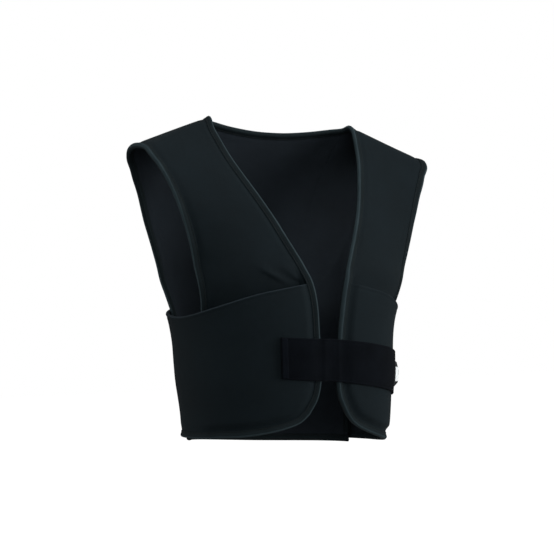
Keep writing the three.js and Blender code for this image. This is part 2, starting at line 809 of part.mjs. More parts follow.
// The pull tab stands out past the strap's free end, and a bare label lies on its face.
const tabLean = radians(40); // how far it turns out of the cloth
const tabGap = 1.4; // more room at its root than a seam has, as its root is cut square
function tabFrame() {
  const angle = radians(strapTo);
  const height = strapHeightAt(angle);
  const x = roundPoint(angle, rowAtHeight(height / shoulderLine(0))).x;
  const row = rowAtHeight(height / shoulderLine(x));
  const { place, normal, along } = surface(round, angle, row);
  const forwards = along.normalize();
  const lift = overWraps + strapThickness / 2;
  const end = place.clone().addScaledVector(normal, lift);
  const clear = seamClearance + (tabThickness / 2) * Math.sin(tabLean) + tabGap;
  const origin = hang(end).addScaledVector(forwards, clear);
  const out = forwards.clone().multiplyScalar(Math.cos(tabLean));
  out.addScaledVector(normal, Math.sin(tabLean)).normalize();
  const up = new THREE.Vector3(0, 0, 1);
  up.addScaledVector(out, -up.dot(out)).normalize();
  const face = out.clone().cross(up).normalize();
  return { origin, out, up, face };
}

function plateGeometry(outline, thickness) {
  const shape = new THREE.Shape(outline.map(([x, y]) => new THREE.Vector2(x, y)));
  return new THREE.ExtrudeGeometry(shape, { depth: thickness, bevelEnabled: false });
}

function placed(mesh, frame, shift) {
  const { origin, out, up, face } = frame;
  const basis = new THREE.Matrix4().makeBasis(out, up, face);
  mesh.quaternion.setFromRotationMatrix(basis);
  mesh.position.copy(origin).addScaledVector(face, shift);
  return mesh;
}

const tabOutline = [
  [0.5, -tabHeight / 2],
  [tabLength * 0.9, -tabHeight * 0.3],
  [tabLength, 0.12 * tabHeight],
  [tabLength * 0.55, tabHeight * 0.42],
  [0.5, tabHeight / 2],
];
const labelOutline = [
  [tabLength * 0.78 - labelWidth, -labelHeight / 2 - 1],
  [tabLength * 0.78, -labelHeight / 2],
  [tabLength * 0.78, labelHeight / 2],
  [tabLength * 0.78 - labelWidth, labelHeight / 2 + 1],
];

// Materials
const cloth = () => new THREE.MeshStandardMaterial({ color: 0x161e20, roughness: 0.85, metalness: 0 });
const tape = () => new THREE.MeshStandardMaterial({ color: 0x1a2427, roughness: 0.7, metalness: 0 });
const webbing = () => new THREE.MeshStandardMaterial({ color: 0x0e1216, roughness: 0.95, metalness: 0 });
const labelWhite = () => new THREE.MeshStandardMaterial({ color: 0xd8dcdc, roughness: 0.6, metalness: 0 });

const hangs = table(hangColumns, hangRows);
function hang(place) {
  const up = place.z / crestHeight;
  const i = Math.max(hangs.findIndex((row) => row.up > up), 1);
  const t = smooth((up - hangs[i - 1].up) / (hangs[i].up - hangs[i - 1].up));
  const aside = hangs[i - 1].aside * (1 - t) + hangs[i].aside * t;
  const tilt = hangs[i - 1].tilt * (1 - t) + hangs[i].tilt * t;
  return new THREE.Vector3(place.x + aside * shoulderHalf, place.y, place.z - tilt * place.x);
}

function named(name, geometry, material) {
  const mesh = new THREE.Mesh(geometry, material);
  mesh.name = name;
  return mesh;
}

// A cloth piece as it hangs
function hung(name, geometry, material) {
  const positions = geometry.attributes.position;
  for (let i = 0; i < positions.count; i += 1) {
    positions.setXYZ(i, ...hang(new THREE.Vector3().fromBufferAttribute(positions, i)).toArray());
  }
  geometry.computeVertexNormals();
  return named(name, geometry, material);
}

// The wearer's right side is the left side mirrored.
function mirrored(geometry) {
  const other = geometry.clone().applyMatrix4(new THREE.Matrix4().makeScale(-1, 1, 1));
  const index = other.index.array;
  for (let i = 0; i < index.length; i += 3) [index[i + 1], index[i + 2]] = [index[i + 2], index[i + 1]];
  return other;
}

const vest = new THREE.Group();
vest.name = "rib_protector";
// The cloth rests on the shoulders where the neck edge crosses the shoulder line.
vest.position.z = -(shoulderLine(neckLine.at(0)[0]) - panelThickness);

const chest = chestPanel();
const wrap = ribWrap();
const armhole = armholeBinding();
vest.add(hung("back_panel", backPanel(), cloth()));
vest.add(hung("chest_panel_right", mirrored(chest), cloth()));
vest.add(hung("chest_panel_left", chest, cloth()));
vest.add(hung("rib_wrap_right", mirrored(wrap), cloth()));
vest.add(hung("rib_wrap_left", wrap, cloth()));
vest.add(hung("edge_binding", edgeBinding(), tape()));
vest.add(hung("armhole_binding_right", mirrored(armhole), tape()));
vest.add(hung("armhole_binding_left", armhole, tape()));
vest.add(hung("back_hem_binding", backHemBinding(), tape()));
vest.add(hung("closure_strap", closureStrap(), webbing()));
vest.add(hung("strap_end_band", strapBand(), webbing()));

const frame = tabFrame();
const tab = named("pull_tab", plateGeometry(tabOutline, tabThickness), webbing());
vest.add(placed(tab, frame, -tabThickness / 2));
const label = named("tab_label", plateGeometry(labelOutline, labelThickness), labelWhite());
vest.add(placed(label, frame, tabThickness / 2 + seamClearance));

export default vest;
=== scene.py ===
"""Looks of the rib protector vest: padded panels and wraps, folded edge tape, closure strap and tab.

The forms follow the CAD part's own tables, worked out again here at a finer pitch. Lengths are in
millimetres with the hem at height 0, until finished() hangs a piece and puts it in the row frame.
"""

import math

import bmesh
import bpy
import numpy as np
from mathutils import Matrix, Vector


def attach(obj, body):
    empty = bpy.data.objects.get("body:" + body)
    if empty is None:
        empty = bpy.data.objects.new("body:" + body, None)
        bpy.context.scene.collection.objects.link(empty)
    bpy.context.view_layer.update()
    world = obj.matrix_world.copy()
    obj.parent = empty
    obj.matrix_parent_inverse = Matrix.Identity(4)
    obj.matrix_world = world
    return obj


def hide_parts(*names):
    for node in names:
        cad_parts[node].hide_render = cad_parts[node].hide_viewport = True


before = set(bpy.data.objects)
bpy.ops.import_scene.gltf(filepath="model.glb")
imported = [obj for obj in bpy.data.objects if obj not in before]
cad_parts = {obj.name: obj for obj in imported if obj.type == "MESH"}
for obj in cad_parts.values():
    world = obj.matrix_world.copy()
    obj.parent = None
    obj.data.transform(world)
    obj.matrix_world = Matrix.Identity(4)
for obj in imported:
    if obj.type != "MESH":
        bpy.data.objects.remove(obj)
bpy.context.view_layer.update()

# Body form

CREST = 407.5  # hem level to the top of the shoulder line
HALF = 200.0  # centre line to the end of the shoulder
DEPTH = 112.0  # centre line to the front of the ribs
SLOPE = 0.405  # drop of the shoulder line for each millimetre out
SLOPE_START = 78.0
SLOPE_ROUNDING = 24.0
PANEL = 4.0  # thickness of the chest and back panels
WRAP = 3.7  # thickness of the rib wraps
WRAP_STANDOFF = 2.6  # from the form to a wrap's inner face
BOUND = 2.0  # a panel's thickness under its tape
BOUND_WRAP = 2.2  # a wrap's thickness under its tape
TAPE = 7.0  # how far the edge tape reaches in from an edge
TAPE_WALL = 1.1  # thickness of the tape
TAPE_CLEAR = 0.76  # gap between the tape and the cloth in it
LAYER = 0.55  # gap between cloths that lie on each other
SEAM = 0.3  # gap between pieces sewn edge to edge

# Level sections of the body, as shares of CREST, HALF and DEPTH, and the roundness exponent:
# height, width, front, back, front rise, back rise, exponent
SECTIONS = np.array([
    [1.0, 1.09, 0.0, 0.0, 0.0, 0.0, 2.0],
    [0.988, 1.09, 0.01, 0.09, 0.28, 0.16, 2.0],
    [0.9626, 1.085, 0.035, 0.2, 0.4, 0.2, 2.0],
    [0.926, 1.08, 0.125, 0.31, 0.425, 0.22, 2.0],
    [0.8746, 1.06, 0.26, 0.44, 0.415, 0.21, 2.0],
    [0.822, 1.04, 0.405, 0.55, 0.35, 0.165, 2.0],
    [0.77, 1.015, 0.55, 0.64, 0.265, 0.135, 2.0],
    [0.719, 0.99, 0.68, 0.715, 0.165, 0.105, 2.0],
    [0.6685, 0.96, 0.785, 0.775, 0.085, 0.06, 2.0],
    [0.618, 0.92, 0.86, 0.82, 0.035, 0.025, 2.0],
    [0.5686, 0.875, 0.925, 0.855, 0.005, 0.0, 2.0],
    [0.519, 0.83, 0.98, 0.875, 0.0, 0.0, 2.05],
    [0.4656, 0.769, 1.01, 0.86, 0.0, 0.0, 2.15],
    [0.4, 0.705, 1.015, 0.83, 0.0, 0.0, 2.25],
    [0.325, 0.676, 1.0, 0.81, 0.0, 0.0, 2.3],
    [0.24, 0.67, 0.98, 0.8, 0.0, 0.0, 2.3],
    [0.15, 0.656, 0.95, 0.79, 0.0, 0.0, 2.3],
    [0.06, 0.642, 0.9, 0.775, 0.0, 0.0, 2.3],
    [-0.03, 0.628, 0.86, 0.755, 0.0, 0.0, 2.3],
    [-0.12, 0.605, 0.82, 0.735, 0.0, 0.0, 2.3],
])
SECTIONS[:, 1] *= HALF
SECTIONS[:, 2:6] *= DEPTH
TURNED = np.array([1, 1, -1, -1, -1, -1, 1])  # the depths change sign over the shoulder line
ROWS = np.vstack([SECTIONS[1] * TURNED, SECTIONS, 2 * SECTIONS[-1] - SECTIONS[-2]])
LAST = len(SECTIONS) - 1

# Edges of the pieces flat on the body: how far across and how high, as shares of HALF and CREST.
HEM_CORNER = [[0.134, 0.1], [0.182, 0.076], [0.266, 0.056], [0.44, 0.031], [0.57, 0.018]]
FRONT_EDGE = [[0.134, 0.1], [0.083, 0.147], [0.064, 0.195], [0.074, 0.321], [0.102, 0.4446],
              [0.15, 0.519], [0.245, 0.618], [0.339, 0.719], [0.427, 0.822], [0.465, 0.8746],
              [0.5, 0.9435], [0.51, 0.976], [0.505, 1.0]]
NECK = [[0.505, 1.0], [0.492, 0.991], [0.435, 0.9785], [0.33, 0.9615], [0.17, 0.9485], [0.0, 0.944]]
ARMHOLE = [[0.57, 0.018], [0.594, 0.15], [0.628, 0.3], [0.675, 0.425], [0.718, 0.519],
           [0.764, 0.629], [0.822, 0.7447], [0.87, 0.825], [0.929, 0.905], [0.975, 0.955], [1.0, 1.0]]
BACK_CORNER = [[0.592, -0.014], [0.608, 0.15], [0.63, 0.3], [0.653, 0.425],
               [0.702, 0.519], [0.753, 0.629]]
HEM_DIP = 0.0095  # how much lower the back's hem hangs at its middle
# Edges of the wraps: degrees round from the front's middle, and height as a share of CREST.
WRAP_HEM = [[80, 0.008], [105, 0.0], [130, -0.004], [152, -0.004]]
WRAP_REAR = [[152, -0.004], [152, 0.2], [151, 0.422]]
WRAP_TOP = [[22, 0.464], [36, 0.453], [48, 0.442], [62, 0.429], [76, 0.416], [88, 0.41],
            [101, 0.415], [125, 0.421], [151, 0.422]]
WRAP_MEETS_UP = 0.479  # where a wrap's top meets the front edge
# How the vest hangs out of true: height, shift across as a share of HALF, drop for each millimetre.
HANG = np.array([[-0.1, 0.036, 0.08], [0.05, 0.028, 0.06], [0.2, 0.012, 0.03], [0.36, 0.0, 0.0],
                 [1.1, 0.0, 0.0]])


def smooth(t):
    """Eases from 0 to 1."""
    t = np.clip(t, 0.0, 1.0)
    return t * t * (3 - 2 * t)


def section(s):
    """The section table's columns at row places s, on a smooth curve."""
    s = np.clip(s, 0.0, LAST)
    i = np.minimum(np.floor(s).astype(int), LAST - 1)
    t = (s - i)[..., None]
    a, b, c, d = ROWS[i], ROWS[i + 1], ROWS[i + 2], ROWS[i + 3]
    return (b * (1 + t * t * (2 * t - 3)) + c * t * t * (3 - 2 * t)
            + (c - a) / 2 * t * (1 - t) ** 2 - (d - b) / 2 * t * t * (1 - t))


FINE_ROWS = np.linspace(0, LAST, 8001)
FINE_HEIGHTS = section(FINE_ROWS)[:, 0]


def row_at(share):
    """The row place at a height."""
    return np.interp(-np.asarray(share, float), -FINE_HEIGHTS, FINE_ROWS)


def shoulder_line(x):
    """Height of the shoulder line above the hem level."""
    out = np.abs(x) - SLOPE_START
    return CREST - SLOPE * (out + np.hypot(out, SLOPE_ROUNDING)) / 2


def draped(x, q):
    """The form over chest and back: x across, q the row place, above 0 on the front."""
    h, w, front, back, front_rise, back_rise, square = np.moveaxis(section(np.abs(q)), -1, 0)
    share = np.minimum(np.abs(x) / w, 1.0)
    curve = (1 - share ** square) ** (1 / square)
    y = np.where(q > 0, -(front * curve + front_rise * share ** 2),
                 back * curve + back_rise * share ** 2)
    return np.stack([x + 0 * q, y, h * shoulder_line(x)], -1)


def wrapped(angle, s):
    """The same form round the ribs: angle from the front's middle round the wearer's left."""
    h, w, front, back, front_rise, back_rise, square = np.moveaxis(section(s), -1, 0)
    share = np.abs(np.sin(angle)) ** (2 / square)
    curve = np.abs(np.cos(angle)) ** (2 / square)
    x = np.sign(np.sin(angle)) * w * share
    y = np.where(np.cos(angle) > 0, -(front * curve + front_rise * share ** 2),
                 back * curve + back_rise * share ** 2)
    return np.stack([x, y, h * shoulder_line(x)], -1)


STEPS = {draped: (0.05, 0.002), wrapped: (0.0005, 0.002)}


def surface(form, u, v):
    """Place, outward normal and the two tangents of a form at u, v."""
    u, v = np.broadcast_arrays(np.asarray(u, float), np.asarray(v, float))
    du, dv = STEPS[form]
    along = (form(u + du, v) - form(u - du, v)) / (2 * du)
    down = (form(u, v + dv) - form(u, v - dv)) / (2 * dv)
    normal = np.cross(down, along)
    normal /= np.linalg.norm(normal, axis=-1, keepdims=True)
    return form(u, v), normal, along, down


def walked(form, u, v, step):
    """The place and normal reached from u, v by a short walk along the form."""
    _, _, along, down = surface(form, u, v)
    aa, ad, dd = (along * along).sum(-1), (along * down).sum(-1), (down * down).sum(-1)
    sa, sd = (step * along).sum(-1), (step * down).sum(-1)
    scale = aa * dd - ad * ad
    return surface(form, u + (sa * dd - sd * ad) / scale, v + (sd * aa - sa * ad) / scale)[:2]


# Lines on the form


def run(points):
    """How far along a row of points each one is."""
    steps = np.linalg.norm(np.diff(points, axis=0), axis=1)
    return np.concatenate([[0], np.cumsum(steps)])


def centripetal(points, count):
    """Centripetal Catmull-Rom through the points, at count + 1 even parameters."""
    p = np.asarray(points, float)
    p = np.vstack([2 * p[0] - p[1], p, 2 * p[-1] - p[-2]])
    out = []
    for t in np.linspace(0, len(p) - 3, count + 1):
        i = min(int(t), len(p) - 4)
        w = t - i
        q = p[i:i + 4]
        d = [max(np.linalg.norm(q[k + 1] - q[k]) ** 0.5, 1e-4) for k in range(3)]
        t1 = (q[1] - q[0]) / d[0] - (q[2] - q[0]) / (d[0] + d[1]) + (q[2] - q[1]) / d[1]
        t2 = (q[2] - q[1]) / d[1] - (q[3] - q[1]) / (d[1] + d[2]) + (q[3] - q[2]) / d[2]
        t1, t2 = t1 * d[1], t2 * d[1]
        c2 = -3 * q[1] + 3 * q[2] - 2 * t1 - t2
        c3 = 2 * q[1] - 2 * q[2] + t1 + t2
        out.append(q[1] + t1 * w + c2 * w * w + c3 * w ** 3)
    return np.array(out)


class Line:
    """A line on a form, held as short steps and read by its share of length."""

    def __init__(self, form, coordinates):
        self.form, self.coordinates = form, np.asarray(coordinates, float)
        self.places = form(self.coordinates[:, 0], self.coordinates[:, 1])
        self.lengths = run(self.places)
        self.total = self.lengths[-1]

    def at(self, share):
        wanted = np.clip(share, 0, 1) * self.total
        return np.stack([np.interp(wanted, self.lengths, self.coordinates[:, k]) for k in (0, 1)], -1)

    def part(self, start, end):
        return Line(self.form, self.at(np.linspace(start, end, 241)))

    def backwards(self):
        return Line(self.form, self.coordinates[::-1])


def line_through(form, points):
    scale = np.array([HALF * 0.7 if form is wrapped else 1.0, 24.0])
    return Line(form, centripetal(np.asarray(points, float) * scale, 240) / scale)


def on_front(rows):
    rows = np.array(rows)
    return np.stack([rows[:, 0] * HALF, row_at(rows[:, 1])], -1)


def on_back(rows):
    return on_front(rows) * [1, -1]


def round_ribs(rows):
    rows = np.array(rows)
    return np.stack([np.radians(rows[:, 0]), row_at(rows[:, 1])], -1)


def to_wrapped(line):
    x, q = line.coordinates.T
    rows = section(q)
    return Line(wrapped, np.stack([np.arcsin(np.minimum(x / rows[:, 1], 1) ** (rows[:, 6] / 2)), q], -1))


front_edge = line_through(draped, on_front(FRONT_EDGE))
front_hem = line_through(draped, on_front(HEM_CORNER))
armhole_front = line_through(draped, on_front(ARMHOLE))
armhole_back = line_through(draped, on_back([*BACK_CORNER, *ARMHOLE[len(BACK_CORNER):]]))
neck_over = line_through(draped, on_back([*NECK, [-NECK[4][0], NECK[4][1]]]))
crossing = np.interp(0, -neck_over.coordinates[:, 0], neck_over.lengths) / neck_over.total
neck_line = neck_over.part(0, crossing)
hem_x = armhole_back.at(0)[0]


def hem_point(x):
    x = np.asarray(x, float)
    return np.stack([x, -row_at(BACK_CORNER[0][1] - HEM_DIP * (1 - (x / hem_x) ** 2))], -1)


back_hem = Line(draped, hem_point(hem_x * np.linspace(1, 0, 241)))
meets = np.interp(-row_at(WRAP_MEETS_UP), -front_edge.coordinates[:, 1], front_edge.lengths)
meets /= front_edge.total
lower_edge = front_edge.part(0, meets)
upper_edge = front_edge.part(meets, 1)
wrap_front = to_wrapped(lower_edge)
wrap_front_hem = to_wrapped(front_hem)
wrap_side_hem = line_through(wrapped, np.vstack([wrap_front_hem.at(1), round_ribs(WRAP_HEM)]))
wrap_hem = Line(wrapped, np.vstack([wrap_front_hem.coordinates, wrap_side_hem.coordinates[1:]]))
wrap_rear = line_through(wrapped, round_ribs(WRAP_REAR))
wrap_top = line_through(wrapped, np.vstack([wrap_front.at(1), round_ribs(WRAP_TOP)]))


BATCH = 4000  # places compared at once, which keeps memory small


def distance(lines, place):
    """How far places lie from the nearest of some lines, the right side folded onto the left."""
    flat = place.reshape(-1, 3).copy()
    flat[:, 0] = np.abs(flat[:, 0])
    targets = np.vstack([line.places for line in lines])
    best = np.zeros(len(flat))
    for start in range(0, len(flat), BATCH):
        some = flat[start:start + BATCH]
        best[start:start + BATCH] = np.sqrt(((some[:, None] - targets[None]) ** 2).sum(-1)).min(1)
    return best.reshape(place.shape[:-1])


# Meshes

LIFT = float(shoulder_line(neck_line.at(0)[0])) - PANEL


def linked(name, data):
    """A new object of the scene that holds the data."""
    thing = bpy.data.objects.new(name, data)
    bpy.context.scene.collection.objects.link(thing)
    return thing


def hung(points):
    """A piece as it hangs out of true near its hem."""
    up = points[:, 2] / CREST
    i = np.clip(np.searchsorted(HANG[:, 0], up), 1, len(HANG) - 1)
    t = smooth((up - HANG[i - 1, 0]) / (HANG[i, 0] - HANG[i - 1, 0]))[:, None]
    row = HANG[i - 1] * (1 - t) + HANG[i] * t
    out = points.copy()
    out[:, 0] += row[:, 1] * HALF
    out[:, 2] -= row[:, 2] * points[:, 0]
    return out


def finished(name, points, faces, uv, materials, mirror=False, kinds=None):
    """A mesh object in the row frame. uv is one pair of millimetres for each vertex, and kinds the
    number of each face's material."""
    points = np.asarray(points, float)
    faces = np.asarray(faces)
    a, b, c = points[faces[:, 0]], points[faces[:, 1]], points[faces[:, 2]]
    volume = (a * np.cross(b, c)).sum()
    if faces.shape[1] == 4:
        volume += (a * np.cross(c, points[faces[:, 3]])).sum()
    if mirror:
        points = points * [-1, 1, 1]
    if (volume < 0) != mirror:
        faces = faces[:, ::-1]
    mesh = bpy.data.meshes.new(name)
    placed = (hung(points) - [0, 0, LIFT]) / 1000
    mesh.from_pydata(placed, [], faces)
    layer = mesh.uv_layers.new(name="weave")
    corners = np.zeros(len(mesh.loops), int)
    mesh.loops.foreach_get("vertex_index", corners)
    layer.data.foreach_set("uv", (np.asarray(uv)[corners] / 1000).astype(np.float32).ravel())
    mesh.polygons.foreach_set("use_smooth", np.ones(len(mesh.polygons), bool))
    for material in materials:
        mesh.materials.append(material)
    if kinds is not None:
        mesh.polygons.foreach_set("material_index", np.asarray(kinds, np.int32))
    mesh.update()
    return linked(name, mesh)


def patch(left, right, bottom, top, us, vs):
    """Coordinates of a four-sided patch as a grid [v, u]."""
    u, v = us[None, :, None], vs[:, None, None]
    c00, c10, c01, c11 = left(0.0), right(0.0), left(1.0), right(1.0)
    return (left(vs)[:, None] * (1 - u) + right(vs)[:, None] * u + bottom(us)[None] * (1 - v)
            + top(us)[None] * v - c00 * (1 - u) * (1 - v) - c10 * u * (1 - v) - c01 * (1 - u) * v
            - c11 * u * v)


def spread(length, edge=20.0, fine=2.5, coarse=5.0, ends=(True, True)):
    """Shares along a length, finer near the ends."""
    here = [0.0]
    while here[-1] < length:
        near = min(here[-1] if ends[0] else 1e9, (length - here[-1]) if ends[1] else 1e9)
        here.append(here[-1] + (fine if near < edge else coarse))
    shares = np.array(here)
    return shares / shares[-1]


def sheet(form, grid, heights, rims):
    """A closed cloth of two faces on a form, with a middle row round its rim. heights gives the
    outer and inner face over the form, and rims how far each side's middle row stands out."""
    place, normal, _, _ = surface(form, grid[..., 0], grid[..., 1])
    outer, inner = heights(place)
    rows, columns = place.shape[:2]
    top, bottom = place + normal * outer[..., None], place + normal * inner[..., None]
    count = rows * columns
    index = np.arange(count).reshape(rows, columns)
    quads = [
        np.stack([index[:-1, :-1], index[:-1, 1:], index[1:, 1:], index[1:, :-1]], -1).reshape(-1, 4),
        count + np.stack([index[:-1, :-1], index[1:, :-1],
                          index[1:, 1:], index[:-1, 1:]], -1).reshape(-1, 4),
    ]
    across = np.cumsum(np.linalg.norm(np.diff(place, axis=1, prepend=place[:, :1]), axis=-1), 1)
    along = np.cumsum(np.linalg.norm(np.diff(place, axis=0, prepend=place[:1]), axis=-1), 0)
    across -= across[:, columns // 2:columns // 2 + 1]
    uv = np.stack([across, along], -1).reshape(-1, 2)
    loop = np.concatenate([index[0, :-1], index[:-1, -1], index[-1, :0:-1], index[:0:-1, 0]])
    inside = np.concatenate([index[1, :-1], index[:-1, -2], index[-2, :0:-1], index[:0:-1, 1]])
    side = np.repeat(np.arange(4), [columns - 1, rows - 1, columns - 1, rows - 1])
    flat_place, flat_normal = place.reshape(-1, 3), normal.reshape(-1, 3)
    out = flat_place[loop] - flat_place[inside]
    out /= np.linalg.norm(out, axis=1, keepdims=True)
    middle = (outer + inner).reshape(-1)[loop] / 2
    rim = flat_place[loop] + flat_normal[loop] * middle[:, None] + out * np.array(rims)[side][:, None]
    ring = 2 * count + np.arange(len(loop))
    after = np.roll(np.arange(len(loop)), -1)
    quads.append(np.stack([loop, ring, ring[after], loop[after]], -1))
    quads.append(np.stack([ring, loop + count, loop[after] + count, ring[after]], -1))
    points = np.vstack([top.reshape(-1, 3), bottom.reshape(-1, 3), rim])
    kinds = np.repeat([0, 1, 0, 1], [len(part) for part in quads])
    return points, np.vstack(quads), np.vstack([uv, uv, uv[loop]]), kinds


def lofted(rings, uv):
    """A tube through rings of equal count, open at its two ends."""
    stations, size = rings.shape[:2]
    points = rings.reshape(-1, 3)
    i, k = np.meshgrid(np.arange(stations - 1), np.arange(size), indexing="ij")
    after = (k + 1) % size
    faces = np.stack([i * size + k, i * size + after, (i + 1) * size + after, (i + 1) * size + k], -1)
    return points, faces.reshape(-1, 4), uv.reshape(-1, 2)


def close_ends(piece):
    """Fills the open ends of a loft."""
    shape = bmesh.new()
    shape.from_mesh(piece.data)
    edges = [e for e in shape.edges if e.is_boundary]
    bmesh.ops.holes_fill(shape, edges=edges, sides=0)
    bmesh.ops.recalc_face_normals(shape, faces=shape.faces)
    shape.to_mesh(piece.data)
    shape.free()


# Materials


class Nodes:
    """Short ways to add and link the nodes of one material."""

    def __init__(self, name):
        self.material = bpy.data.materials.new(name)
        self.material.use_nodes = True
        self.tree = self.material.node_tree
        self.shader = self.tree.nodes["Principled BSDF"]

    def put(self, socket, value):
        if isinstance(value, bpy.types.NodeSocket):
            self.tree.links.new(value, socket)
        else:
            socket.default_value = value

    def math(self, operation, a, b=0.0, c=0.0):
        node = self.tree.nodes.new("ShaderNodeMath")
        node.operation = operation
        for socket, value in zip(node.inputs, (a, b, c)):
            self.put(socket, value)
        return node.outputs[0]

    def mapped(self, low, high, to_low, to_high, value):
        node = self.tree.nodes.new("ShaderNodeMapRange")
        node.interpolation_type = "SMOOTHSTEP"
        for socket, v in zip(node.inputs, (value, low, high, to_low, to_high)):
            self.put(socket, v)
        return node.outputs[0]

    def noise(self, vector, scale, detail=2.0, rough=0.5):
        node = self.tree.nodes.new("ShaderNodeTexNoise")
        self.put(node.inputs["Vector"], vector)
        for name, value in (("Scale", scale), ("Detail", detail), ("Roughness", rough)):
            node.inputs[name].default_value = value
        return node.outputs["Fac"]

    def colours(self, factor, *stops):
        node = self.tree.nodes.new("ShaderNodeValToRGB")
        ramp = node.color_ramp
        while len(ramp.elements) < len(stops):
            ramp.elements.new(0.5)
        for element, (place, colour) in zip(ramp.elements, stops):
            element.position, element.color = place, (*colour, 1)
        self.put(node.inputs[0], factor)
        return node.outputs[0]

    def place(self):
        return self.tree.nodes.new("ShaderNodeTexCoord").outputs["Object"]

    def weave(self):
        """The two lengths along the cloth, in metres."""
        node = self.tree.nodes.new("ShaderNodeUVMap")
        node.uv_map = "weave"
        split = self.tree.nodes.new("ShaderNodeSeparateXYZ")
        self.put(split.inputs[0], node.outputs[0])
        return split.outputs[0], split.outputs[1]

    def wave(self, value, pitch, shift=0.0):
        turns = self.math("MULTIPLY_ADD", value, 2 * math.pi / pitch, shift)
        return self.math("SINE", turns)

    def bump(self, height, distance, strength=1.0):
        node = self.tree.nodes.new("ShaderNodeBump")
        node.inputs["Strength"].default_value = strength
        node.inputs["Distance"].default_value = distance
        self.put(node.inputs["Height"], height)
        self.put(self.shader.inputs["Normal"], node.outputs[0])

    def finish(self, colour, roughness, **fixed):
        self.put(self.shader.inputs["Base Color"], colour)
        self.put(self.shader.inputs["Roughness"], roughness)
        for name, value in fixed.items():
            self.shader.inputs[name.replace("_", " ")].default_value = value
        return self.material


# Pitches of the weaves, in metres.
KNIT_WALE, KNIT_COURSE = 0.0011, 0.00085
TAPE_RIB = 0.0009
WEBBING_PITCH = 0.0016


def lit(colour, light):
    return tuple(light * part for part in colour)


def knit_cloth(name, dark, light):
    """Fine jersey knit: wales of small chevrons, soft blotches and a little fuzz."""
    n = Nodes(name)
    u, v = n.weave()
    wale = n.math("FRACT", n.math("MULTIPLY", u, 1 / KNIT_WALE))
    lean = n.math("ABSOLUTE", n.math("SUBTRACT", wale, 0.5))
    loops = n.wave(v, KNIT_COURSE, n.math("MULTIPLY", lean, 5.0))
    ribs = n.math("MULTIPLY", n.wave(u, KNIT_WALE), 0.6)
    place = n.place()
    fuzz = n.noise(place, 1500, 2)
    blotch = n.noise(place, 14, 4, 0.6)
    knit = n.math("ADD", n.math("MULTIPLY", loops, 0.5), ribs)
    n.bump(n.math("MULTIPLY_ADD", fuzz, 0.6, knit), 0.00016, 0.55)
    tone = n.math("MULTIPLY_ADD", knit, 0.12, blotch)
    colour = n.colours(tone, (0.25, dark), (0.75, light))
    roughness = n.mapped(0.2, 0.8, 0.66, 0.8, blotch)
    return n.finish(colour, roughness, Sheen_Weight=0.02, Sheen_Roughness=0.45,
                    Sheen_Tint=(0.7, 0.85, 0.9, 1), Specular_IOR_Level=0.05)


def folded_tape(name, light=1.0):
    """Finely ribbed binding tape, lighter in random patches of wear; light scales its colour, which the
    fold's copy uses as a painted highlight.
    """
    n = Nodes(name)
    u, _ = n.weave()
    ribs = n.wave(u, TAPE_RIB)
    place = n.place()
    fuzz = n.noise(place, 1800, 2)
    wear = n.noise(place, 30, 3, 0.6)
    n.bump(n.math("MULTIPLY_ADD", fuzz, 0.5, n.math("MULTIPLY", ribs, 0.5)), 0.00012, 0.5)
    tone = n.math("MULTIPLY_ADD", ribs, 0.08, wear)
    colour = n.colours(tone, (0.25, lit((0.0058, 0.0092, 0.0106), light)),
                       (0.8, lit((0.0098, 0.0146, 0.0166), light)))
    roughness = n.mapped(0.3, 0.7, 0.56, 0.68, wear)
    return n.finish(colour, roughness, Sheen_Weight=0.008, Sheen_Roughness=0.35,
                    Sheen_Tint=(0.6, 0.85, 0.92, 1), Specular_IOR_Level=0.03)


def brushed_webbing(name, light=1.0):
    """Matt loop webbing: short tangled pile over a fine cross weave."""
    n = Nodes(name)
    u, v = n.weave()
    place = n.place()
    pile = n.noise(place, 900, 4, 0.7)
    weave = n.math("MULTIPLY", n.wave(u, WEBBING_PITCH), n.wave(v, WEBBING_PITCH))
    # random patches of wear on the webbing
    wear_and_painted_highlight = n.noise(place, 40, 3, 0.6)
    n.bump(n.math("MULTIPLY_ADD", weave, 0.25, pile), 0.00035, 0.6)
    colour = n.colours(n.math("MULTIPLY_ADD", pile, 0.35, n.math("MULTIPLY", wear_and_painted_highlight, 0.65)),
                       (0.3, lit((0.0013, 0.0019, 0.003), light)),
                       (0.75, lit((0.003, 0.0042, 0.0063), light)))
    return n.finish(colour, 0.92, Sheen_Weight=0.006, Sheen_Roughness=0.6,
                    Specular_IOR_Level=0.03)


def sewing_thread(name):
    """Black twisted thread."""
    n = Nodes(name)
    place = n.place()
    n.bump(n.noise(place, 3000, 2), 0.0001, 0.5)
    colour = n.colours(n.noise(place, 60, 2), (0.3, (0.0016, 0.0024, 0.0028)),
                       (0.7, (0.003, 0.0042, 0.005)))
    return n.finish(colour, 0.6, Specular_IOR_Level=0.15)


def moulded_tab(name):
    """Finely grained moulded plastic."""
    n = Nodes(name)
    place = n.place()
    grain = n.noise(place, 1400, 3, 0.6)
    n.bump(grain, 0.0002, 0.35)
    colour = n.colours(n.noise(place, 80, 2), (0.3, (0.003, 0.0045, 0.0055)),
                       (0.7, (0.006, 0.0085, 0.01)))
    return n.finish(colour, n.mapped(0.3, 0.7, 0.5, 0.62, grain), Specular_IOR_Level=0.25)


def woven_label(name):
    """White woven label with nothing on it."""
    n = Nodes(name)
    place = n.place()
    weave = n.noise(place, 2200, 2)
    n.bump(weave, 0.0001, 0.4)
    colour = n.colours(n.noise(place, 250, 3), (0.2, (0.62, 0.65, 0.66)),
                       (0.8, (0.74, 0.77, 0.77)))
    return n.finish(colour, 0.65, Sheen_Weight=0.1)


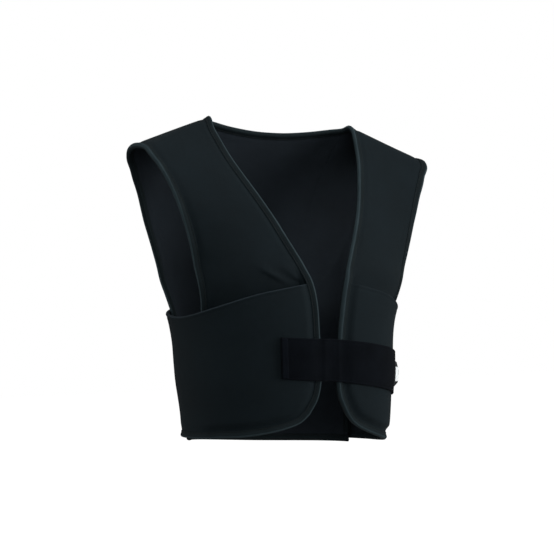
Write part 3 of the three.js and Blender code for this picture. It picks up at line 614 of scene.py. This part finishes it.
cloth = knit_cloth("knit_cloth", (0.0037, 0.0066, 0.0083), (0.0061, 0.0103, 0.0128))
# a lighter copy of the knit: a painted highlight along a wrap's turned top edge
wear_and_painted_highlight = knit_cloth("painted_highlight_cloth_edge", (0.0105, 0.0155, 0.02), (0.016, 0.0235, 0.029))
# the inner faces' knit, lighter than the outer knit: painted fill light inside the vest
lining_with_painted_fill = knit_cloth("lining_cloth_painted_fill", (0.009, 0.0122, 0.0158), (0.013, 0.0176, 0.0226))
tape = folded_tape("binding_tape")
# a lighter copy of the tape: a painted highlight on the tape's rounded fold
painted_highlight_tape = folded_tape("painted_highlight_tape_fold", 2.8)
webbing = brushed_webbing("strap_webbing")
band_webbing = brushed_webbing("end_band_webbing", 1.4)
thread = sewing_thread("thread")

# Padded pieces

# Heights of faces over the form: a panel's pressed by the tape, a wrap's over a panel in the same
# tape (double), a wrap's own, and a wrap's in a tape by itself (single).
PRESS_OUTER = -(PANEL - BOUND) / 2
PRESS_INNER = -PANEL - PRESS_OUTER
DOUBLE_INNER = PRESS_OUTER + LAYER
DOUBLE_OUTER = DOUBLE_INNER + BOUND_WRAP
WRAP_OUTER = WRAP_STANDOFF + WRAP
SINGLE_PRESS = 0.62  # the share of a wrap's pressing that its inner face takes there
SINGLE_INNER = WRAP_STANDOFF + (WRAP - BOUND_WRAP) * SINGLE_PRESS
SINGLE_OUTER = SINGLE_INNER + BOUND_WRAP
SINGLE_START = float(armhole_front.places[0, 1]) + 3
SINGLE_FADE = 24.0
PRESS_REACH = TAPE + 0.8

# A fold: its middle across and up in millimetres, lean in degrees, length, width above and under
# its ridge, and height.
FOLDS_RIGHT = [[69, 203.5, 29, 36, 4.5, 2.6, 2.2], [62, 199, 28, 20, 2, 2.5, -0.4],
               [49, 209, 27, 24, 6, 4, 1.3], [42, 201.5, 26, 20, 3.2, 2.4, 1.2],
               [96, 224, 24, 60, 12, 10, 0.9], [120, 228, 16, 48, 12, 12, 0.8]]
FOLDS_LEFT = [[62, 214, 30, 46, 9, 7, 0.8], [110, 224, 16, 48, 12, 12, 0.8],
              [40, 203, 28, 20, 4, 3, 0.8]]
TUCK = 4.4  # how far the chest draws in where it passes under a wrap
TUCK_REACH = 20.0
SHOULDER_SEAM_FROM = 101.0
SHOULDER_SEAM_DEEP = 0.8
PANEL_RELEASE, WRAP_RELEASE, SEAM_RELEASE = 6.0, 9.0, 5.0  # how fast cloth swells from its seams
TURN = 1.9  # radius of a wrap's turned edge
TURN_ROWS = [0.35, 0.8, 1.4, 2.1, 3.2, 4.4, 5.6, 7.0]  # mesh rows below a wrap's top edge
TURN_RIM = 1.3  # how far the middle row of its rim stands out
STITCH_LINE, STITCH_SINK, STITCH_WIDE = 4.4, 0.4, 1.2  # the row of stitches under a wrap's top edge
PAINTED_HIGHLIGHT = 2  # number of the painted-highlight cloth among a padded piece's materials
CHEST_WIDE = 165.0  # across a chest, for the spacing of its mesh
CREASED_UP = [186, 224]  # heights between which a chest's mesh is finer
CREASED_ACROSS = (0.06, 0.6)  # shares of its width between which it is finer


def pressing(d, reach, release):
    """1 within reach of a seam, easing to 0 over the release."""
    return 1 - smooth((d - reach) / release)


def folded(place, folds):
    """How high the folds stand at places."""
    height = np.zeros(place.shape[:-1])
    for across, up, lean, long, above, under, high in folds:
        dx, dz = place[..., 0] - across, place[..., 2] - up
        c, s = math.cos(math.radians(lean)), math.sin(math.radians(lean))
        over = dz * c - dx * s
        over = over / np.where(over > 0, above, under)
        height += high * np.exp(-4 * ((dx * c + dz * s) / long) ** 2 - over ** 2)
    return height


def panel_heights(bound, folds, tucked=()):
    """A panel's outer and inner face: pressed at bound edges, drawn in at the shoulder seam."""
    def heights(place):
        press = pressing(distance(bound, place), PRESS_REACH, PANEL_RELEASE)
        sunk = pressing(distance([shoulder_seam], place), 0.0, SEAM_RELEASE)
        seam = SHOULDER_SEAM_DEEP * sunk * (1 - press)
        free = folded(place, folds)
        if tucked:
            free = free - TUCK * np.exp(-(distance(tucked, place) / TUCK_REACH) ** 2)
        free = (1 - press) * free
        outer = PRESS_OUTER * press + free - seam
        inner = -PANEL + (PRESS_INNER + PANEL) * press + free + seam
        return outer, inner
    return heights


def alone(place):
    """0 where a wrap lies over a chest, 1 where it is by itself."""
    return smooth((place[..., 1] - SINGLE_START) / SINGLE_FADE)


def wrap_heights(place):
    """A wrap's outer and inner face: pressed under tape, and turned at its top and rear."""
    press = pressing(distance([wrap_front, wrap_hem], place), PRESS_REACH, WRAP_RELEASE)
    a = alone(place)
    inner = DOUBLE_INNER * (1 - a) + SINGLE_INNER * a
    outer = DOUBLE_OUTER * (1 - a) + SINGLE_OUTER * a
    inward = distance([wrap_top, wrap_rear], place)
    turned = TURN - np.sqrt(np.clip(TURN ** 2 - np.clip(TURN - inward, 0, TURN) ** 2, 0, None))
    sunk = STITCH_SINK * np.exp(-((inward - STITCH_LINE) / STITCH_WIDE) ** 2)
    turned = (turned + sunk) * (1 - press)
    return (WRAP_OUTER + (outer - WRAP_OUTER) * press - turned,
            WRAP_STANDOFF + (inner - WRAP_STANDOFF) * press)


def shortened(line, gap=SEAM / 2):
    """A line read by its share of length, that stops a gap before its end."""
    return lambda t: line.at(t * (1 - gap / line.total))


seam_across = np.linspace(SHOULDER_SEAM_FROM, HALF, 241)
shoulder_seam = Line(draped, np.stack([seam_across, np.zeros_like(seam_across)], -1))


def refined(shares, low, high):
    """Shares with each step between low and high halved twice."""
    steps = zip(shares[:-1], shares[1:])
    parts = [np.linspace(a, b, 5 if low < (a + b) / 2 < high else 2)[:-1] for a, b in steps]
    return np.concatenate([*parts, [1.0]])


def chest_mesh(folds):
    left, right = shortened(front_edge), shortened(armhole_front)
    a, b = left(1.0), right(1.0)
    us = refined(spread(CHEST_WIDE), *CREASED_ACROSS)
    creased = np.interp(CREASED_UP, front_edge.places[:, 2], front_edge.lengths) / front_edge.total
    vs = refined(spread(front_edge.total), *creased)
    grid = patch(left, right, front_hem.at, lambda t: a + (b - a) * np.asarray(t)[..., None],
                 us, vs)
    bound = [front_edge, front_hem, armhole_front, armhole_back, neck_line]
    return sheet(draped, grid, panel_heights(bound, folds, [wrap_top]), (0, 0, 0, 0))


def back_mesh():
    edge = shortened(armhole_back)
    crest_share = (armhole_back.at(1)[0] - neck_line.at(0)[0]) / (2 * armhole_back.at(1)[0])
    start = SEAM * 0.6 / neck_line.total
    outer, neck_start = edge(1.0), neck_line.at(start)

    def left(t):
        return edge(t) * [-1, 1]

    def hem(t):
        return hem_point(hem_x * (2 * np.asarray(t, float) - 1))

    def top(t):
        t = np.asarray(t, float)
        side = np.where(t < 0.5, -1, 1)
        near = np.minimum(t, 1 - t)
        out = near / crest_share
        x = outer[0] + (neck_start[0] - outer[0]) * np.minimum(out, 1)
        share = np.clip((near - crest_share) / (0.5 - crest_share), 0, 1)
        curve = neck_line.at(start + (1 - start) * share)
        x = np.where(out <= 1, x, curve[..., 0])
        q = np.where(out <= 1, outer[1], curve[..., 1])
        return np.stack([side * x, q], -1)

    width = 2 * armhole_back.at(1)[0]
    shoulder = spread(width * crest_share, 20) * crest_share
    neck = crest_share + spread(neck_line.total, 20, 2.5, 5, (True, False)) * (0.5 - crest_share)
    half = np.concatenate([shoulder, neck[1:]])
    us = np.concatenate([half, 1 - half[-2::-1]])
    vs = spread(armhole_back.total)
    grid = patch(left, edge, hem, top, us, vs)
    bound = [armhole_back, armhole_front, neck_line, back_hem, front_edge]
    return sheet(draped, grid, panel_heights(bound, []), (0, 0, 0, 0))


def wrap_mesh(painted_highlight_rows):
    """A wrap, with so many rows of faces along its top edge given a painted highlight."""
    us, vs = spread(wrap_top.total), spread(wrap_front.total)
    close = 1 - np.array(TURN_ROWS) / wrap_front.total
    vs = np.sort(np.concatenate([vs[vs < close[-1] - 0.005], close, [1.0]]))
    grid = patch(wrap_front.at, wrap_rear.at, wrap_hem.at, wrap_top.at, us, vs)
    points, faces, uv, kinds = sheet(wrapped, grid, wrap_heights, (0, TURN_RIM, 0, TURN_RIM))
    rows, columns = len(vs) - 1, len(us) - 1
    face_count = rows * columns
    top_rim = 2 * face_count + columns + rows
    if painted_highlight_rows:
        # these top rows and the top rim take the painted highlight
        kinds[face_count - painted_highlight_rows * columns:face_count] = PAINTED_HIGHLIGHT
        kinds[top_rim:top_rim + columns] = PAINTED_HIGHLIGHT
    return points, faces, uv, kinds


PINNED, PINNED_RELEASE = 9.5, 14.0  # the sewn edge that the simulation holds still
STRAP_PINNED, STRAP_PINNED_RELEASE = 28.0, 8.0  # and the cloth under the strap
SWELL_CAP = 0.9
SWELL_FRAMES = 14
PRESSURE = 4.0
CLOTH_MASS, CLOTH_BENDING = 0.3, 2.0
STRAP_PINNED_UP = 0.262  # the strap's height there, as a share of CREST
under_strap = np.radians(np.linspace(-24, 66, 91))
strap_line = Line(wrapped, np.stack([under_strap, np.full(91, row_at(STRAP_PINNED_UP))], -1))


def swollen(piece, points, sewn):
    """Swells a padded piece between its sewn edges by a cloth simulation, up to a capped distance."""
    held = pressing(distance(sewn, points), PINNED, PINNED_RELEASE)
    pinned = pressing(distance([strap_line], points), STRAP_PINNED, STRAP_PINNED_RELEASE)
    held = np.maximum(held, pinned)
    group = piece.vertex_groups.new(name="held")
    levels = np.round(held, 1)
    for level in np.unique(levels):
        group.add(np.nonzero(levels == level)[0].tolist(), float(level), "REPLACE")
    modifier = piece.modifiers.new("cloth", "CLOTH")
    settings = modifier.settings
    settings.quality = 4
    settings.mass = CLOTH_MASS
    settings.use_pressure = True
    settings.uniform_pressure_force = PRESSURE
    settings.bending_stiffness = CLOTH_BENDING
    settings.effector_weights.gravity = 0
    settings.vertex_group_mass = "held"
    modifier.collision_settings.use_collision = False
    modifier.point_cache.frame_start, modifier.point_cache.frame_end = 1, SWELL_FRAMES
    scene = bpy.context.scene
    for frame_number in range(1, SWELL_FRAMES + 1):
        scene.frame_set(frame_number)
    shaped = piece.evaluated_get(bpy.context.evaluated_depsgraph_get()).data
    moved, still = np.zeros(len(points) * 3), np.zeros(len(points) * 3)
    shaped.vertices.foreach_get("co", moved)
    piece.data.vertices.foreach_get("co", still)
    piece.modifiers.remove(modifier)
    piece.vertex_groups.remove(group)
    scene.frame_set(1)
    move = (moved - still).reshape(-1, 3) * 1000
    size = np.linalg.norm(move, axis=1, keepdims=True)
    move *= SWELL_CAP * np.tanh(size / SWELL_CAP) / np.maximum(size, 1e-9) * (1 - held[:, None])
    piece.data.vertices.foreach_set("co", (still.reshape(-1, 3) + move / 1000).ravel())
    piece.data.update()


def soft(name, mesh, sewn, mirror=False):
    """A padded piece, swollen between its sewn edges."""
    points, faces, uv, kinds = mesh
    piece = finished(name, points, faces, uv, (cloth, lining_with_painted_fill, wear_and_painted_highlight), mirror, kinds)
    swollen(piece, points, sewn)
    modifier = piece.modifiers.new("smooth", "SUBSURF")
    modifier.levels = modifier.render_levels = 1
    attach(piece, "root")
    return piece


# rows of painted highlight along each wrap's top edge; the left wrap has none
PAINTED_HIGHLIGHT_ROWS = {"right": 2, "left": 0}
chest_sewn = [front_edge, front_hem, armhole_front, armhole_back, neck_line, shoulder_seam,
              wrap_top]
wrap_sewn = [wrap_front, wrap_hem, wrap_top, wrap_rear]
for side, folds in (("right", FOLDS_RIGHT), ("left", FOLDS_LEFT)):
    panel = soft("padded_chest_" + side, chest_mesh(folds), chest_sewn, side == "right")
    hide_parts("chest_panel_" + side)
    wrap = soft("padded_wrap_" + side, wrap_mesh(PAINTED_HIGHLIGHT_ROWS[side]), wrap_sewn, side == "right")
    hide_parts("rib_wrap_" + side)

back = soft("padded_back", back_mesh(), chest_sewn + [back_hem])
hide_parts("back_panel")

# Edge tape

# Heights of the two faces that the tape covers: a panel's, a wrap's over a panel's, and a wrap's.
SINGLE = (PRESS_INNER, PRESS_OUTER)
DOUBLE = (PRESS_INNER, DOUBLE_OUTER)
WRAP_ONLY = (SINGLE_INNER, SINGLE_OUTER)
STITCH_IN = 5.4  # from an edge to the tape's row of stitches
STITCH = 3.5  # from one stitch to the next
STITCH_HIGH, STITCH_SUNK = 0.3, 0.08
THREAD = 0.27  # radius
THREAD_SIDES = 5
SAME_PLACE = 0.02
TAPE_STEP, THREAD_STEP = 3.0, 0.7
FOLD_FIRST, FOLD_LAST = 9, 14  # faces of the section at the fold that take the painted highlight
NOSE_SWELL, NOSE_IN = 0.4, 0.5  # the fold's rounding past the tape's faces
NOSE_TURN = np.radians([72, 52, 34, 16, 0, -16, -34, -52, -72])
ARM_CLEAR_BACK, ARM_CLEAR_FRONT = 3, 18
UPPER_FADE = 20.0  # where the tape leaves the wrap for the chest alone


def stations(line, start, end, heights, step):
    """Places along a line: form, coordinates and the heights of the covered faces."""
    count = max(int(line.total * abs(end - start) / step), 2)
    out = []
    for share in np.linspace(start, end, count):
        u, v = line.at(share)
        out.append((line.form, u, v, *heights(line, share)))
    return out


def constant(pair):
    return lambda line, share: pair


def mixed(a, b, t):
    return tuple(p * (1 - t) + q * t for p, q in zip(a, b))


def hem_cover(line, share):
    place = line.form(*line.at(share))
    return mixed(DOUBLE, WRAP_ONLY, float(alone(place)))


def upper_cover(line, share):
    return mixed(DOUBLE, SINGLE, float(smooth((share * line.total - 2) / UPPER_FADE)))


def tape_ring(half):
    """The folded tape's section: how far out of the cloth and how high over its middle."""
    lip, web = half - TAPE_WALL, TAPE_CLEAR + TAPE_WALL
    face = [(-7.0, lip - 0.45), (-6.85, lip - 0.05), (-6.4, lip + 0.12), (-5.9, lip + 0.05),
            (-STITCH_IN, lip - 0.15), (-4.9, lip + 0.1), (-3.9, half - 0.5), (-2.8, half - 0.1),
            (-1.8, half + 0.25), (-1.0, half + NOSE_SWELL)]
    nose = [((web + NOSE_IN) * math.cos(a) - NOSE_IN, (half + NOSE_SWELL) * math.sin(a))
            for a in NOSE_TURN]
    under = [(a, -h) for a, h in reversed(face)]
    return [*face, *nose, *under, (TAPE_CLEAR * 0.9, -lip), (TAPE_CLEAR * 0.9, lip)]


def tape_frames(rows):
    """Places, outward directions and coordinates of the stations."""
    place, normal = np.zeros((len(rows), 3)), np.zeros((len(rows), 3))
    u, v = np.array([r[1] for r in rows], float), np.array([r[2] for r in rows], float)
    for form in (draped, wrapped):
        mask = np.array([r[0] is form for r in rows])
        if mask.any():
            place[mask], normal[mask] = surface(form, u[mask], v[mask])[:2]
    before, after = np.vstack([place[:1], place[:-1]]), np.vstack([place[1:], place[-1:]])
    forwards = after - before
    forwards /= np.linalg.norm(forwards, axis=1, keepdims=True)
    out = np.cross(normal, forwards)
    out /= np.linalg.norm(out, axis=1, keepdims=True)
    return place, out, u, v


def tape_points(rows, sections):
    """Points of a section carried along the stations, and how far along these are. sections is
    [station, point, (away, height)]."""
    place, out, u, v = tape_frames(rows)
    count = sections.shape[1]
    points = np.zeros((len(rows), count, 3))
    for form in (draped, wrapped):
        mask = np.array([r[0] is form for r in rows])
        if not mask.any():
            continue
        for k in range(count):
            there, normal = walked(form, u[mask], v[mask], out[mask] * sections[mask, k, :1])
            points[mask, k] = there + normal * sections[mask, k, 1:]
    return points, run(place)


def tape_piece(name, rows, mirror=False):
    """A folded tape along the stations."""
    rows = [row for i, row in enumerate(rows) if i == 0 or row[:3] != rows[i - 1][:3]]
    sections = []
    for row in rows:
        middle, half = (row[3] + row[4]) / 2, (row[4] - row[3]) / 2 + TAPE_CLEAR + TAPE_WALL
        sections.append([(away, middle + height) for away, height in tape_ring(half)])
    sections = np.array(sections)
    points, lengths = tape_points(rows, sections)
    uv = np.stack(np.meshgrid(lengths, run(sections[0]), indexing="ij"), -1)
    flat, faces, uv = lofted(points, uv)
    point = np.arange(len(faces)) % sections.shape[1]
    # the fold's faces take the painted-highlight tape
    kinds = ((point >= FOLD_FIRST) & (point < FOLD_LAST)).astype(int)
    piece = finished(name, flat, faces, uv, [tape, painted_highlight_tape], mirror, kinds)
    close_ends(piece)
    piece.data.set_sharp_from_angle(angle=math.radians(50))
    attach(piece, "root")
    return piece


def tape_thread(name, rows, mirror=False):
    """A row of lockstitches on each face of a tape: thread that dips in between its stitches."""
    place = tape_frames(rows)[0]
    steps = np.linalg.norm(np.diff(place, axis=0, prepend=0), axis=1)
    rows = [row for row, step in zip(rows, steps) if step > SAME_PLACE]
    place = tape_frames(rows)[0]
    lengths = run(place)
    middle = np.array([row[3] + row[4] for row in rows])[:, None] / 2
    lip = np.array([row[4] - row[3] for row in rows])[:, None] / 2 + TAPE_CLEAR
    turn = np.linspace(0, 2 * math.pi, THREAD_SIDES, endpoint=False)[None]
    dip = STITCH_HIGH * np.cos(lengths * 2 * math.pi / STITCH)[:, None] - STITCH_SUNK
    uv = np.stack(np.broadcast_arrays(lengths[:, None], turn), -1)
    pieces = []
    for side in (1, -1):
        away = np.broadcast_to(THREAD * np.cos(turn) - STITCH_IN, (len(rows), THREAD_SIDES))
        high = middle + side * (lip + dip + THREAD * np.sin(turn))
        points, _ = tape_points(rows, np.stack([away, high], -1))
        pieces.append(lofted(points, uv))
    flat = np.vstack([p[0] for p in pieces])
    faces = np.vstack([pieces[0][1], pieces[1][1][:, ::-1] + len(pieces[0][0])])
    piece = finished(name, flat, faces, np.vstack([p[2] for p in pieces]), [thread], mirror)
    close_ends(piece)
    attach(piece, "root")
    return piece


def left_edge(step):
    """The left half of the one tape: hem, front edge and neck."""
    return [
        *stations(rear, 0.002, 1, hem_cover, step),
        *stations(wrap_front, 0, 1, constant(DOUBLE), step)[1:],
        *stations(upper_edge, 0, 1, upper_cover, step)[1:],
        *stations(neck_line, 0, 1, constant(SINGLE), step)[1:],
    ]


def both_sides(rows):
    """Left rows, and the same on the right."""
    return rows + [(form, -u, v, low, high) for form, u, v, low, high in reversed(rows[:-1])]


def arm_edge(step):
    """An armhole's edge, clear of the hems' tapes at both ends."""
    start, end = TAPE + ARM_CLEAR_BACK, TAPE + ARM_CLEAR_FRONT
    return [
        *stations(armhole_back, start / armhole_back.total, 1, constant(SINGLE), step),
        *stations(armhole_front, 1, end / armhole_front.total, constant(SINGLE), step)[1:],
    ]


def hem_edge(step):
    half_rows = stations(back_hem, 0.6 / back_hem.total, 1, constant(SINGLE), step)
    rows = [(form, -u, v, low, high) for form, u, v, low, high in half_rows]
    return rows + list(reversed(half_rows[:-1]))


rear = wrap_hem.backwards()
edge_tape = tape_piece("edge_tape", both_sides(left_edge(TAPE_STEP)))
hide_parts("edge_binding")
tape_thread("edge_stitches", both_sides(left_edge(THREAD_STEP)))
for side in ("right", "left"):
    arm_tape = tape_piece("armhole_tape_" + side, arm_edge(TAPE_STEP), side == "right")
    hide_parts("armhole_binding_" + side)
    tape_thread("armhole_stitches_" + side, arm_edge(THREAD_STEP), side == "right")

hem_tape = tape_piece("back_hem_tape", hem_edge(TAPE_STEP))
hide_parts("back_hem_binding")
tape_thread("back_hem_stitches", hem_edge(THREAD_STEP))

# Closure strap

STRAP_WIDTH = 50.0
STRAP_THICK = 2.2
STRAP_HEIGHT = 104.5  # its middle above the hem level, at the centre line
STRAP_LEAN = 0.13  # its drop for each degree round to the wearer's left
STRAP_DROP = 12.0  # its further drop to its free end
STRAP_FROM, STRAP_TO = math.radians(-24.3), math.radians(66)
STRAP_ROW = row_at(0.26)  # the row along which its length is measured
OVER_WRAPS = WRAP_OUTER + LAYER
OVER_GAP = DOUBLE_OUTER + TAPE_CLEAR + TAPE_WALL + LAYER
GAP_END, GAP_EASE = 14.0, 16.0  # where the strap comes down from the tapes onto the wraps
TAPE_LINE, TAPE_LINE_HIGH, TAPE_LINE_WIDE = 9.5, 0.8, 1.7  # the tapes showing through the strap
DIP, DIP_WIDE = 0.6, 4.5  # its dip between them
BAND_REACH, BAND_THICK, BAND_IN = 6.0, 1.2, 1.0  # the end band
STRAP_STEPS, BAND_STEPS = 150, 8


def strap_at(angle, across):
    """The row place on the strap at an angle round the body and so far above its middle."""
    share = np.maximum(angle, 0) / STRAP_TO
    drop = STRAP_LEAN * np.degrees(angle) + STRAP_DROP * share ** 1.3
    height = STRAP_HEIGHT - drop + across
    x = wrapped(angle, row_at(height / shoulder_line(0)))[..., 0]
    return row_at(height / shoulder_line(x))


def strap_inner(place):
    """Height of the strap's inner face over the form."""
    x = np.abs(place[..., 0])
    base = OVER_GAP + (OVER_WRAPS - OVER_GAP) * smooth((x - GAP_END) / GAP_EASE)
    raised = TAPE_LINE_HIGH * np.exp(-((x - TAPE_LINE) / TAPE_LINE_WIDE) ** 2)
    return base + raised - DIP * np.exp(-(x / DIP_WIDE) ** 2)


def strap_ring(half, low, thick):
    """Section of a flat band with rounded, slightly raised selvages: across and height."""
    top = [(half, 0.5), (half - 0.25, 0.82), (half - 0.9, 1.0), (half - 2.0, 0.98),
           (half - 2.6, 0.9), (half - 3.4, 0.98)]
    inner = [(a, 1.0) for a in np.linspace(half - 6, 6 - half, 12)]
    back = [(-a, h) for a, h in reversed(top)]
    under = [(0.25 - half, 0.1), (1 - half, 0.0), (0.0, 0.0), (half - 1, 0.0), (half - 0.25, 0.1)]
    return np.array([(a, low + h * thick) for a, h in [*top, *inner, *back, *under]])


def strap_piece(name, start, end, steps, ring, material):
    """A flat band round the body from one angle to another."""
    angles = np.linspace(start, end, steps)
    a, across = np.meshgrid(angles, ring[:, 0], indexing="ij")
    rows = strap_at(a, across)
    place, normal, _, _ = surface(wrapped, a, rows)
    points = place + normal * (strap_inner(place) + ring[None, :, 1])[..., None]
    uv = np.stack(np.meshgrid(run(place[:, 0]), run(ring), indexing="ij"), -1)
    flat, faces, uv = lofted(points, uv)
    piece = finished(name, flat, faces, uv, [material])
    piece.data.set_sharp_from_angle(angle=math.radians(60))
    close_ends(piece)
    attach(piece, "root")
    return piece


strap = strap_piece("strap", STRAP_FROM, STRAP_TO, STRAP_STEPS,
                    strap_ring(STRAP_WIDTH / 2, 0, STRAP_THICK), webbing)
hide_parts("closure_strap")
middle_row = wrapped(STRAP_FROM, row_at(STRAP_HEIGHT / CREST))
reach = BAND_REACH / math.hypot(middle_row[0], middle_row[1])
band_start = STRAP_FROM + reach * 0.12
band_ring = strap_ring(STRAP_WIDTH / 2 - BAND_IN, STRAP_THICK + SEAM, BAND_THICK)
band = strap_piece("end_band", band_start, band_start + reach, BAND_STEPS, band_ring, band_webbing)
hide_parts("strap_end_band")
strap_path = wrapped(np.linspace(STRAP_FROM, STRAP_TO, 200), np.full(200, STRAP_ROW))


def bevelled(node, name, material, width):
    """A CAD plate with its edges rounded."""
    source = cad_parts[node]
    piece = linked(name, source.data.copy())
    piece.matrix_world = source.matrix_world
    shape = bmesh.new()
    shape.from_mesh(piece.data)
    bmesh.ops.remove_doubles(shape, verts=shape.verts, dist=1e-6)
    bmesh.ops.dissolve_limit(shape, angle_limit=0.02, verts=shape.verts, edges=shape.edges)
    bmesh.ops.bevel(shape, geom=shape.edges[:], offset=width, segments=3, profile=0.5,
                    affect="EDGES")
    for face in shape.faces:
        face.smooth = True
    shape.to_mesh(piece.data)
    shape.free()
    piece.data.materials.clear()
    piece.data.materials.append(material)
    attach(piece, "root")
    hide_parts(node)
    return piece


bevelled("pull_tab", "tab", moulded_tab("moulded_tab"), 0.0007)
bevelled("tab_label", "label", woven_label("woven_label"), 0.00025)

# Stage, light and camera

FLOOR_HEIGHT, FLOOR_REACH, FLOOR_GLOW = -0.9, 6, 0.8


def stage_plane(name, corners, colour):
    """A plain pale plane that glows for the camera alone."""
    mesh = bpy.data.meshes.new(name)
    mesh.from_pydata(corners, [], [(0, 1, 2, 3)])
    plane = linked(name, mesh)
    n = Nodes(name)
    n.put(n.shader.inputs["Emission Color"], (1, 1, 1, 1))
    plane.data.materials.append(n.finish((*colour, 1), 0.9, Specular_IOR_Level=0.1,
                                         Emission_Strength=FLOOR_GLOW))
    plane.visible_diffuse = plane.visible_glossy = False
    return plane


floor_corners = [(x * FLOOR_REACH, y * FLOOR_REACH, FLOOR_HEIGHT)
                 for x, y in ((-1, -1), (1, -1), (1, 1), (-1, 1))]
stage_plane("floor", floor_corners, (0.9, 0.9, 0.9))

WORLD_LIGHT = 0.24
CENTRE = (0, 0, -0.2)  # what the lights face
# Soft lights: name, place, width and height, power.
LIGHTS = [
    ("top", (0.1, -0.5, 1.5), (1.8, 1.4), 20),
    ("right", (1.45, -1.5, 0.1), (0.9, 1.7), 36),
    ("left", (-1.8, 0.6, 0.0), (0.6, 1.6), 13),
    ("front", (-0.5, -2.3, 0.5), (1.6, 1.6), 19),
]
CAMERA_AZIMUTH, CAMERA_HEIGHT = math.radians(30), -0.1902
CAMERA_AWAY, CAMERA_SIDE, CAMERA_LENS = 1.64, 0.005, 85.3

bpy.context.scene.view_settings.view_transform = "Standard"
world = bpy.data.worlds.new("studio")
bpy.context.scene.world = world
world.use_nodes = True
tree = world.node_tree
background = tree.nodes["Background"]
background.inputs[1].default_value = WORLD_LIGHT
white = tree.nodes.new("ShaderNodeBackground")
seen = tree.nodes.new("ShaderNodeLightPath")
both = tree.nodes.new("ShaderNodeMixShader")
background.inputs[0].default_value = white.inputs[0].default_value = (1, 1, 1, 1)
tree.links.new(seen.outputs["Is Camera Ray"], both.inputs[0])
tree.links.new(background.outputs[0], both.inputs[1])
tree.links.new(white.outputs[0], both.inputs[2])
tree.links.new(both.outputs[0], tree.nodes["World Output"].inputs[0])


def softbox(name, place, size, power):
    """A rectangular light that faces the vest."""
    data = bpy.data.lights.new(name, "AREA")
    data.shape, data.size, data.size_y, data.energy = "RECTANGLE", *size, power
    light = linked(name, data)
    light.location = place
    light.rotation_euler = (Vector(CENTRE) - Vector(place)).to_track_quat("-Z", "Y").to_euler()


for light in LIGHTS:
    softbox(*light)

forward = Vector((math.sin(CAMERA_AZIMUTH), math.cos(CAMERA_AZIMUTH), 0))
right = Vector((math.cos(CAMERA_AZIMUTH), -math.sin(CAMERA_AZIMUTH), 0))
data = bpy.data.cameras.new("camera")
data.lens, data.sensor_width = CAMERA_LENS, 36.0
camera = linked("camera", data)
camera.location = (Vector((0, 0, CAMERA_HEIGHT)) - forward * CAMERA_AWAY
                   - right * CAMERA_SIDE)
camera.rotation_euler = forward.to_track_quat("-Z", "Y").to_euler()
bpy.context.scene.camera = camera
